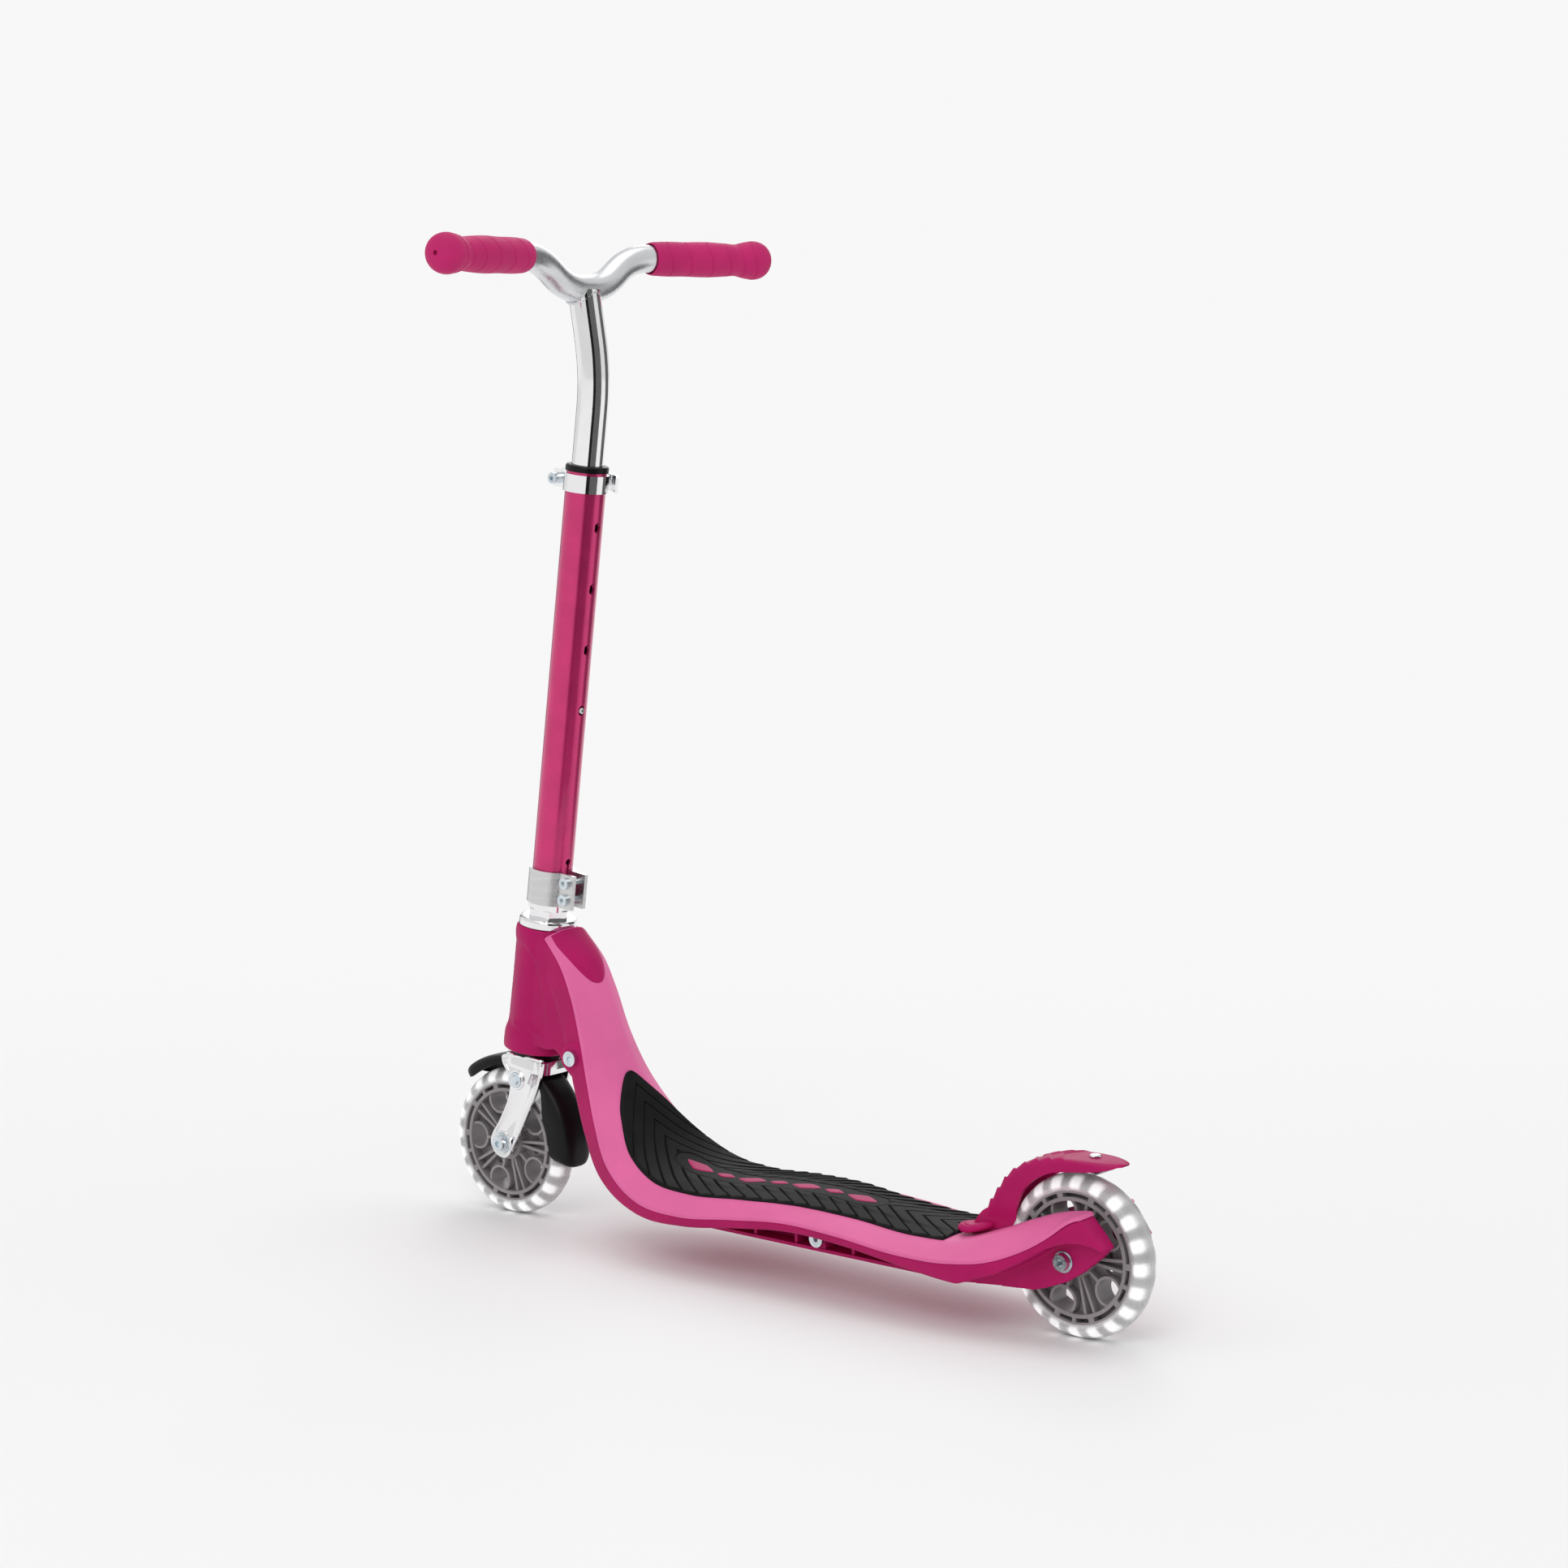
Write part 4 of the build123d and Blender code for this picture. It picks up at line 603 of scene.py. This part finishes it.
def head_cap():
    """The dark teardrop behind the head, a little proud of the skin."""
    low, high = distance_of(188.6), DECK_LENGTH - 1.0
    rows = np.linspace(low, high, 70)
    rise = (rows - low) / (high - low)
    half = deck(rows)[:, 2]
    reach = np.minimum(20.5 * np.sqrt(np.clip(1 - (1 - rise) ** 2.2, 0, 1)) + 0.3, half - 3.2)
    v = np.sin(np.linspace(-1, 1, 61) * math.pi / 2)
    y = reach[:, None] * v
    data = deck(rows)
    h = np.stack([crown(y[i], data[i, 2], data[i, 3], data[i, 4]) for i in range(len(rows))])
    across = np.sqrt(np.clip(1 - np.abs(v) ** 5, 0, 1))
    proud = 0.9 * across[None] * np.sqrt(np.clip(rise * 14, 0, 1))[:, None]
    top = deck_point(rows[:, None], y, h + proud)
    bottom = deck_point(rows[:, None], y, h - 2.0)
    piece = slab("head_cap_visual", top, bottom)
    cut(piece, steer_cylinder("barrel", 25.0, 120, 290))
    return finished(piece, "frame", "shell_dark", ["head_cap"], angle=50)


# ---------------------------------------------------------------- grip pad
PAD_REAR = distance_of(-184.5)
PAD_TIP = distance_of(157.5)
GROOVE_PITCH = 16.5
GROOVE_SLOPE = 1.35
PLAQUE_FRONT = distance_of(103.0)
PLAQUE_REAR = distance_of(-102.0)
PLAQUE_HALF = 13.5


def pad_half_width(at):
    flat = deck(at)[:, 3]
    to_tip = np.clip((PAD_TIP - at) / 34, 0, 1)
    return (flat + 0.6) * np.sqrt(1 - (1 - to_tip) ** 2)


def plaque_distance(at, y):
    """How far a point is outside the long oval plaque; negative inside it."""
    low, high = PLAQUE_REAR + PLAQUE_HALF, PLAQUE_FRONT - PLAQUE_HALF
    beyond = at - np.clip(at, low, high)
    return np.hypot(beyond, y) - PLAQUE_HALF


def pad_relief(at, y, reach):
    """The height of the pad's pattern: chevron grooves, slanted ribs and the plaque's rim."""
    size = np.abs(y)
    front = PAD_TIP - at
    phase = (front - 12 - GROOVE_SLOPE * size) / GROOVE_PITCH
    number = np.floor(phase + 0.5)
    off = np.abs(phase - number) * GROOVE_PITCH
    groove = 1 - step_up(off, 0.6, 1.15)
    groove *= step_up(phase, -0.4, -0.2)
    step = phase - np.floor(phase)
    beside = step_up(size / np.maximum(reach, 1), 0.42, 0.6) * step_up(front, 95, 125)
    outside = plaque_distance(at, y)
    clear = step_up(outside, 1.0, 2.2)
    rim = np.exp(-((outside - 0.6) / 0.7) ** 2)
    relief = (-1.4 * groove - 1.0 * beside * (1 - step)) * clear
    return relief - 0.75 * rim - 0.25 * (1 - step_up(outside, -0.6, 0.4))


def grip_pad():
    rows = np.concatenate([
        np.linspace(PAD_REAR, PAD_TIP - 12, 520), np.linspace(PAD_TIP - 12, PAD_TIP - 0.02, 40)[1:],
    ])
    v = np.linspace(-1, 1, 133)
    reach = pad_half_width(rows)
    y = reach[:, None] * v
    data = deck(rows)
    h = np.stack([crown(y[i], data[i, 2], data[i, 3], data[i, 4]) for i in range(len(rows))])
    relief = pad_relief(rows[:, None], y, reach[:, None])
    edge = step_up((reach[:, None] - np.abs(y)), 0.0, 2.0) * step_up(rows[:, None], PAD_REAR, PAD_REAR + 1.5)
    top = deck_point(rows[:, None], y, h + 2.5 * (0.45 + 0.55 * edge) + relief * edge)
    bottom = deck_point(rows[:, None], y, h - 0.8)
    return finished(slab("grip_pad_visual", top, bottom), "frame", "pad_rubber", ["grip_pad"], angle=55)


def plaque_motif():
    """A plain row of raised diamonds along the plaque."""
    shapes = []
    spots = np.linspace(PLAQUE_REAR + 22, PLAQUE_FRONT - 22, 7)
    for number, at in enumerate(spots):
        length = 14.0 if number % 2 == 0 else 9.0
        width = 7.5 if number % 2 == 0 else 5.2
        rings = []
        for grow, height in ((1.0, -0.5), (1.0, 2.35), (0.9, 2.62), (0.6, 2.7)):
            turn = np.radians(np.arange(0, 360, 10))
            along = length * grow * np.sign(np.cos(turn)) * np.abs(np.cos(turn)) ** 1.6
            across = width * grow * np.sign(np.sin(turn)) * np.abs(np.sin(turn)) ** 1.6
            data = deck(np.clip(at + along, 0, DECK_LENGTH))
            drop = -MIDDLE_CROWN * (across / data[:, 3]) ** 2
            rings.append(deck_point(at + along, across, drop + height))
        shapes.append(loft("diamond", rings))
    return finished(joined("plaque_motif", shapes), "frame", "shell_dark", angle=50)


# ---------------------------------------------------------------- brake fender
FENDER_TOP = [(-194, 69.5), (-200.5, 77), (-208.5, 90), (-216.5, 102), (-226.5, 115), (-242, 125.6),
              (-266, 132.4), (-288, 134.2), (-304, 134.2), (-319, 133.0)]
FENDER_LOW = [(-228, 73.5), (-232.5, 80), (-235, 91), (-240, 103), (-247.3, 111.5), (-262, 120.3),
              (-280, 124.4), (-300, 127.2), (-310, 129.3), (-318.5, 132.0)]
FENDER_FOOT = [(-192, 69), (-204, 86), (-219, 88), (-217, 80), (-213.5, 66), (-211, 58), (-208, 53),
               (-204, 51), (-200, 53), (-197, 58)]
# share of the length, from the foot to the tail, against half the width
FENDER_HALF = ([0, 0.08, 0.16, 0.3, 0.6, 0.8, 0.9, 0.96, 1.0], [15.2, 15.2, 17, 18, 18, 17.4, 14.5, 9.5, 2.5])
FENDER_CLEAR = 68.0


def brake_fender():
    count = 300
    share = np.linspace(0, 1, count)
    top = smooth_path(FENDER_TOP, count)
    knots = path_lengths(FENDER_TOP)
    length = knots[-1]
    low = smooth(knots / length, FENDER_LOW, share)
    axle = np.array(REAR_AXLE)
    outer_v = np.sin(np.linspace(-1, 1, 61) * math.pi / 2)
    inner_v = np.linspace(0.985, -0.985, 41)
    rings = []
    for i in range(count):
        half = smooth(*FENDER_HALF, share[i:i + 1])[0]
        depth = low[i] - top[i]
        tall = np.linalg.norm(depth)
        down = depth / tall
        y = outer_v * half
        size = np.abs(y)
        corner = min(5.0, half * 0.5)
        beyond = np.clip((size - (half - corner)) / corner, 0, 1)
        fall = (1 - np.sqrt(1 - beyond**2)) * min(corner, tall * 0.45) + 1.4 * (y / half) ** 2
        along = share[i] * length
        place = np.hypot((along - 62) / 14, y / 7.5)
        ring = np.exp(-((place - 1) / 0.13) ** 2)
        phase = (along - 10 - 0.55 * size) / 11.2
        ridge = (phase - np.floor(phase)) ** 1.4
        ridge *= step_up(along, 8, 14) * (1 - step_up(along, 104, 112)) * step_up(place, 1.1, 1.35)
        ridge *= 1 - step_up(beyond, 0.5, 1.0)
        lift = 2.1 * ridge + 1.1 * ring
        outer = top[i] + np.outer(fall - lift, down)
        y_in = inner_v * half
        inner = np.repeat(low[i][None], len(y_in), 0)
        hollow = 1 - step_up(np.abs(y_in), 12.6, 14.2)
        away = inner - axle
        radius = np.linalg.norm(away, axis=1)
        clear = radius + (np.maximum(radius, FENDER_CLEAR) - radius) * hollow
        inner = axle + away * (clear / radius)[:, None]
        ring_x = np.concatenate([outer[:, 0], inner[:, 0]])
        ring_z = np.concatenate([outer[:, 1], inner[:, 1]])
        rings.append(np.stack([ring_x, np.concatenate([y, y_in]), ring_z], 1))
    shell = loft("fender_shell", rings)
    stem = bevelled(prism("stem", rounded_outline(FENDER_FOOT, 2), -15.2, 15.2), 1.0)
    lobes = [foot_lobe(side) for side in (1, -1)]
    piece = joined("brake_fender_visual", [shell, stem, *lobes])
    return finished(piece, "brake", "shell_dark", ["brake_fender"], angle=48)


def foot_lobe(side):
    """A low oval foot beside the fender, with an oval groove in its top."""
    radii = np.array([0.02, 0.2, 0.4, 0.55, 0.62, 0.68, 0.74, 0.8, 0.88, 0.95, 0.99, 1.0])
    turn = np.radians(np.arange(0, 360, 6))
    height = 4.6 * np.sqrt(np.clip(1 - radii**6, 0, 1)) - 0.8 * np.exp(-((radii - 0.68) / 0.05) ** 2)
    rings = []
    for r, h in [*zip(radii, height), (0.94, -1.0)]:
        x, y = -199 + 15.5 * r * np.cos(turn), side * 15 + 12.5 * r * np.sin(turn)
        rings.append(np.stack([x, y, 68.8 + h + 0.3 * np.maximum(-198 - x, 0)], 1))
    return loft("lobe", rings)


# ---------------------------------------------------------------- front mudguard
GUARD_TOP = 72.3
GUARD_FRONT, GUARD_BACK = 49, 190
# angle round the wheel against half the width, and against the radius of the lower edge
GUARD_HALF = ([49, 62, 80, 92, 120, 134, 150, 175, 190], [16.4, 17, 16, 14.4, 14.4, 15.6, 17, 17, 16.6])
GUARD_SKIRT = ([49, 60, 84, 100, 128, 145, 165, 180, 190], [61, 61, 64.5, 66.5, 65, 54, 52, 52, 54])


def front_mudguard():
    """A black shell round the front wheel: a short tongue ahead and a deep tail behind."""
    degrees = np.linspace(GUARD_FRONT, GUARD_BACK, 190)
    wide = smooth(*GUARD_HALF, degrees)
    skirt = smooth(*GUARD_SKIRT, degrees)
    end = np.minimum(degrees - GUARD_FRONT, GUARD_BACK - degrees)
    close = np.sqrt(np.clip(1 - (1 - np.clip(end / 9, 0, 1)) ** 2, 0.0, 1))
    wide = wide * (0.45 + 0.55 * close)
    skirt = GUARD_TOP - 3 - (GUARD_TOP - 3 - skirt) * (0.25 + 0.75 * close)
    turn = np.linspace(0, math.pi, 45)
    outer, inner = [], []
    for angle, w, low, shut in zip(np.radians(degrees), wide, skirt, close):
        out = np.array([math.cos(angle), math.sin(angle)])
        across = np.sign(np.cos(turn)) * np.abs(np.cos(turn)) ** 0.55
        rise = np.abs(np.sin(turn)) ** 0.62
        top = GUARD_TOP - 2.0 * (1 - shut)
        for points, inset in ((outer, 0.0), (inner, 2.0)):
            y = across * (w - inset)
            radius = low + (top - inset - low) * rise
            x = FRONT_AXLE[0] + radius * out[0]
            z = FRONT_AXLE[1] + radius * out[1]
            points.append(np.stack([x, y, z], 1))
    piece = slab("front_mudguard_visual", np.array(outer), np.array(inner))
    return finished(piece, "fork", "black_plastic", ["front_mudguard"], angle=50)


# ---------------------------------------------------------------- fork
BLADE = [(281, 136.5), (280.5, 128), (274, 120), (271, 112), (274, 98), (285, 78), (292, 69),
         (295, 60), (290, 51), (282, 47.6), (274, 50), (270, 57), (262, 70), (252, 89),
         (241, 110), (236, 126), (234.8, 133), (237, 137)]
FORK_INNER = 15.0
FORK_OUTER = 17.5
# the crown's sections: height along the steering axis and growth of the outline
CROWN = ((137.0, -2.0), (136.8, -0.8), (136.0, 0.0), (126.0, 0.6), (125.4, -0.4), (126.0, -2.0),
         (133.6, -2.6))


def inset(outline, distance):
    """The outline moved inwards by a distance."""
    before, after = np.roll(outline, 1, axis=0), np.roll(outline, -1, axis=0)
    ahead = after - before
    ahead /= np.linalg.norm(ahead, axis=1)[:, None]
    area = np.sum(outline[:, 0] * after[:, 1] - after[:, 0] * outline[:, 1])
    normal = np.stack([-ahead[:, 1], ahead[:, 0]], 1) * np.sign(area)
    return outline + normal * distance


def fork():
    parts = []
    outline = rounded_outline(BLADE, 2)
    steps = ((0.9, FORK_INNER), (0.0, FORK_INNER + 0.7), (0.0, FORK_OUTER + 0.3), (0.7, FORK_OUTER + 1.0),
             (1.9, FORK_OUTER + 1.0), (2.8, FORK_OUTER + 0.2), (3.4, FORK_OUTER - 0.3))
    for side in (1, -1):
        rings = []
        for shrink, y in steps:
            edge = inset(outline, shrink)
            rings.append(np.stack([edge[:, 0], np.full(len(edge), side * y), edge[:, 1]], 1))
        blade = loft("blade", rings)
        parts.append(blade)
        # raised boss round the mudguard screw
        turn = [(0.01, 16.5), (8.6, 16.5), (8.6, 18.0), (8.0, 18.6), (6.6, 18.6), (6.2, 18.1), (0.01, 18.1)]
        parts.append(revolved("boss", turn, (265, 0, 115.6), (0, side, 0), 64))
        dish = [(0.01, 16.5), (10.6, 16.5), (10.4, 18.0), (9.6, 18.5), (8.6, 18.0), (8.0, 17.6), (0.01, 17.6)]
        parts.append(revolved("dish", dish, (282, 0, 60.5), (0, side, 0), 64))
    # crown: a rounded plate with short skirts folded down before and behind
    turn = np.radians(np.arange(0, 360, 6))
    rings = []
    for low, grow in CROWN:
        f = (23 + grow) * np.sign(np.cos(turn)) * np.abs(np.cos(turn)) ** 0.45 - 1
        y = (17.9 + grow) * np.sign(np.sin(turn)) * np.abs(np.sin(turn)) ** 0.45
        rings.append(STEER_FOOT + np.outer(f, STEER_FORWARD) + np.outer(y, LEFT) + low * STEER_UP)
    parts.append(loft("crown", rings))
    piece = joined("fork_visual", parts)
    return finished(piece, "fork", "polished", ["fork"], angle=42)


# ---------------------------------------------------------------- grips
GRIP_ORIGIN = np.array([210.1, 0.0, 777.3])
GRIP_SWEEP = math.radians(11.3)
GRIP_INNER, GRIP_OUTER = 74.0, 194.0
GRIP_PROFILE = np.array([(0, 12.4), (2, 13.0), (8, 13.5), (32, 13.9), (58, 14.4), (76, 13.6), (88, 13.0),
                         (97, 14.7), (104, 15.6)])
GRIP_RINGS = np.array([14, 33, 54, 73, 88, 99])
BAR_RADIUS = 11.0
WELD_CENTRE = np.array([200.0, 0.0, 752.7])
WELD_RADIUS = 12.9


def grip(side):
    """A rubber grip: open collar, waist, wavy rings and a bulb with a small hole in its end."""
    outward_axis = np.array([-math.sin(GRIP_SWEEP), side * math.cos(GRIP_SWEEP), 0])
    level = np.array([side * math.cos(GRIP_SWEEP), math.sin(GRIP_SWEEP), 0])
    length = GRIP_OUTER - GRIP_INNER
    bulb = GRIP_PROFILE[-1, 0]
    along = np.concatenate([np.linspace(0, bulb, 220),
                            bulb + (length - bulb - 0.1) * np.sin(np.linspace(0, math.pi / 2, 26))[1:]])
    body = smooth(GRIP_PROFILE[:, 0], GRIP_PROFILE[:, 1], np.minimum(along, bulb))
    past = np.clip((along - bulb) / (length - bulb), 0, 1)
    radius = body * (1 - past ** 2.4) ** (1 / 2.2)
    turn = np.arange(128) * 2 * math.pi / 128
    spokes = np.cos(turn)[:, None] * level + np.sin(turn)[:, None] * np.array([0, 0, 1.0])

    def circle(distance, size):
        middle = GRIP_ORIGIN + outward_axis * (GRIP_INNER + distance)
        return middle + spokes * np.broadcast_to(size, turn.shape)[:, None]

    rings = [circle(6, 11.15), circle(3, 11.15), circle(0.2, 11.9)]
    for distance, size in zip(along, radius):
        wave = 2.2 * np.sin(turn * 2 + 0.6)
        gap = np.min(np.abs(distance + wave[:, None] - GRIP_RINGS[None]), axis=1)
        groove = 0.6 * (1 - step_up(gap, 0.3, 0.9))
        swell = 0.3 * np.cos(turn * 2 + 0.4) * step_up(distance, 20, 40) * (1 - step_up(distance, 80, 95))
        rings.append(circle(distance, np.maximum(size - groove + swell, 2.2)))
    rings += [circle(length - 0.15, 1.9), circle(length - 3, 1.8), circle(length - 3, 0.05)]
    name = "left_grip" if side > 0 else "right_grip"
    return finished(loft(name + "_visual", rings), "handlebar", "grip_rubber", [name], angle=50)


def weld_bead():
    """The rippled weld where the upper tube meets the handlebar."""
    turn = np.arange(160) * 2 * math.pi / 160
    rings = []
    for angle in turn:
        y = WELD_RADIUS * math.sin(angle)
        side = WELD_RADIUS * math.cos(angle)
        lift = -math.sqrt(max(BAR_RADIUS**2 - side**2 * 0.72, 0))
        middle = WELD_CENTRE + np.array([side, y, lift - 0.2])
        out = np.array([math.cos(angle), math.sin(angle), -0.5])
        out /= np.linalg.norm(out)
        up = np.array([0, 0, 1.0])
        fat = 1.25 + 0.12 * math.sin(angle * 34)
        small = np.radians(np.arange(0, 360, 30))
        rings.append(middle + fat * (np.cos(small)[:, None] * out + np.sin(small)[:, None] * up))
    rings = np.array(rings)
    count, around = rings.shape[:2]
    faces = [(i * around + j, i * around + (j + 1) % around, ((i + 1) % count) * around + (j + 1) % around,
              ((i + 1) % count) * around + j) for i in range(count) for j in range(around)]
    return finished(outward(new_piece("weld_bead", rings.reshape(-1, 3), faces)), "handlebar", "satin")


deck_skin()
frame_body()
head_cap()
grip_pad()
plaque_motif()
brake_fender()
front_mudguard()
fork()
for side in (1, -1):
    grip(side)
weld_bead()

# ---------------------------------------------------------------- studio
CAMERA_AT = Vector((-1.65008, 2.00078, 0.72074))
CAMERA_AIM = Vector((0.63009, -0.76546, -0.13063))
CAMERA_LENS = 79.03
SENSOR = 36.0
BACKDROP = 0.935
WORLD_LIGHT = 0.76
FLOOR_TONE = 0.93
# metres from the origin where the floor starts and ends turning into backdrop
FLOOR_FADE = (0.5, 1.5)
CARD_CENTRE = np.array([230.0, 0.0, 2.0])
CARD_DISTANCE = 1000.0
CARD_HEIGHT = np.array([0, 0, 1300.0])
# millimetres from the origin to each edge of the floor
FLOOR_REACH = 60000.0
# name, place, target, size in metres, watts
LIGHTS = (
    ("key", (-1.2, 2.6, 2.6), (0, 0, 0.35), (1.6, 1.6), 18),
    ("top", (0.2, -0.2, 3.0), (0, 0, 0.3), (2.0, 2.0), 12),
    ("back", (1.6, -2.4, 1.8), (0, 0, 0.4), (1.2, 1.8), 11),
)


def add_camera():
    data = bpy.data.cameras.new("camera")
    data.lens = CAMERA_LENS
    data.sensor_width = SENSOR
    camera = bpy.data.objects.new("camera", data)
    camera.location = CAMERA_AT
    camera.rotation_euler = CAMERA_AIM.to_track_quat("-Z", "Y").to_euler()
    bpy.context.scene.collection.objects.link(camera)
    bpy.context.scene.camera = camera


def add_light(name, place, target, size, power):
    data = bpy.data.lights.new(name, "AREA")
    data.shape = "RECTANGLE"
    data.size, data.size_y = size
    data.energy = power
    light = bpy.data.objects.new(name, data)
    light.location = place
    light.rotation_euler = (Vector(target) - Vector(place)).to_track_quat("-Z", "Y").to_euler()
    bpy.context.scene.collection.objects.link(light)


def only_reflected(card, finish):
    """Keeps a card out of sight, so that it shows only in the polished parts."""
    card.visible_camera = False
    card.visible_diffuse = False
    card.visible_transmission = False
    card.visible_shadow = False
    card.data.materials.append(finish)


def add_card(name, degrees, half_degrees, finish):
    """A tall card round the column."""
    half = CARD_DISTANCE * math.tan(math.radians(half_degrees))
    away = np.array([math.cos(math.radians(degrees)), math.sin(math.radians(degrees)), 0])
    side = np.array([-away[1], away[0], 0]) * half
    middle = CARD_CENTRE + away * CARD_DISTANCE
    corners = [middle - side, middle + side, middle + side + CARD_HEIGHT, middle - side + CARD_HEIGHT]
    only_reflected(new_piece(name, corners, [(0, 1, 2, 3)]), finish)


def add_floor_card(name, degrees, half_degrees, near, far, finish):
    """A flat card just above the floor, from near to far off the column."""
    turn = np.radians([degrees - half_degrees, degrees + half_degrees])
    spokes = np.stack([np.cos(turn), np.sin(turn), [0, 0]], 1)
    corners = [CARD_CENTRE + spokes[0] * near, CARD_CENTRE + spokes[0] * far,
               CARD_CENTRE + spokes[1] * far, CARD_CENTRE + spokes[1] * near]
    only_reflected(new_piece(name, corners, [(0, 1, 2, 3)]), finish)


def add_floor():
    corners = [(x * FLOOR_REACH, y * FLOOR_REACH, 0) for x, y in ((-1, -1), (1, -1), (1, 1), (-1, 1))]
    floor = new_piece("floor", corners, [(0, 1, 2, 3)])
    floor.data.materials.append(FLOOR)


def floor_finish():
    """Pale and matt near the scooter, and as bright as the backdrop far from it."""
    material, tree, bsdf = shader("floor")
    place = tree.nodes.new("ShaderNodeTexCoord")
    length = tree.nodes.new("ShaderNodeVectorMath")
    length.operation = "LENGTH"
    tree.links.new(place.outputs["Object"], length.inputs[0])
    far = ramp_value(tree, length.outputs["Value"], *FLOOR_FADE)
    grain = noise(tree, 60, 2.0)
    tree.links.new(ramp(tree, far, (0.0, FLOOR_TONE), (1.0, 0.0)), bsdf.inputs["Base Color"])
    tree.links.new(ramp(tree, far, (0.0, 0.0), (1.0, BACKDROP)), bsdf.inputs["Emission Color"])
    tree.links.new(ramp(tree, grain, (0.3, 0.85), (0.7, 0.95)), bsdf.inputs["Roughness"])
    bsdf.inputs["Emission Strength"].default_value = 1.0
    bsdf.inputs["Specular IOR Level"].default_value = 0.0
    return material


def backdrop_world():
    """A plain bright backdrop that lights the scooter a little less than it shows."""
    world = bpy.data.worlds.new("studio")
    world.use_nodes = True
    tree = world.node_tree
    seen = tree.nodes.new("ShaderNodeLightPath")
    background = tree.nodes["Background"]
    background.inputs["Color"].default_value = (1, 1, 1, 1)
    strength = tree.nodes.new("ShaderNodeMapRange")
    strength.inputs["To Min"].default_value = WORLD_LIGHT
    strength.inputs["To Max"].default_value = BACKDROP
    tree.links.new(seen.outputs["Is Camera Ray"], strength.inputs["Value"])
    tree.links.new(strength.outputs["Result"], background.inputs["Strength"])
    bpy.context.scene.world = world


FLOOR = floor_finish()
DARK_CARD = surface("dark_card", (0.012, 0.012, 0.012), 0.8, specular=0.0)
GREY_CARD = surface("grey_card", (0.13, 0.13, 0.13), 0.8, specular=0.0)
add_floor()
add_camera()
for lamp in LIGHTS:
    add_light(*lamp)
add_card("card_middle", 142, 9, DARK_CARD)
add_card("card_right", 171, 20, GREY_CARD)
add_card("card_side", 243, 18, GREY_CARD)
add_card("card_left", -19, 5, DARK_CARD)
add_floor_card("card_low", 142, 16, 330, 620, DARK_CARD)
backdrop_world()
bpy.context.scene.view_settings.view_transform = "Standard"
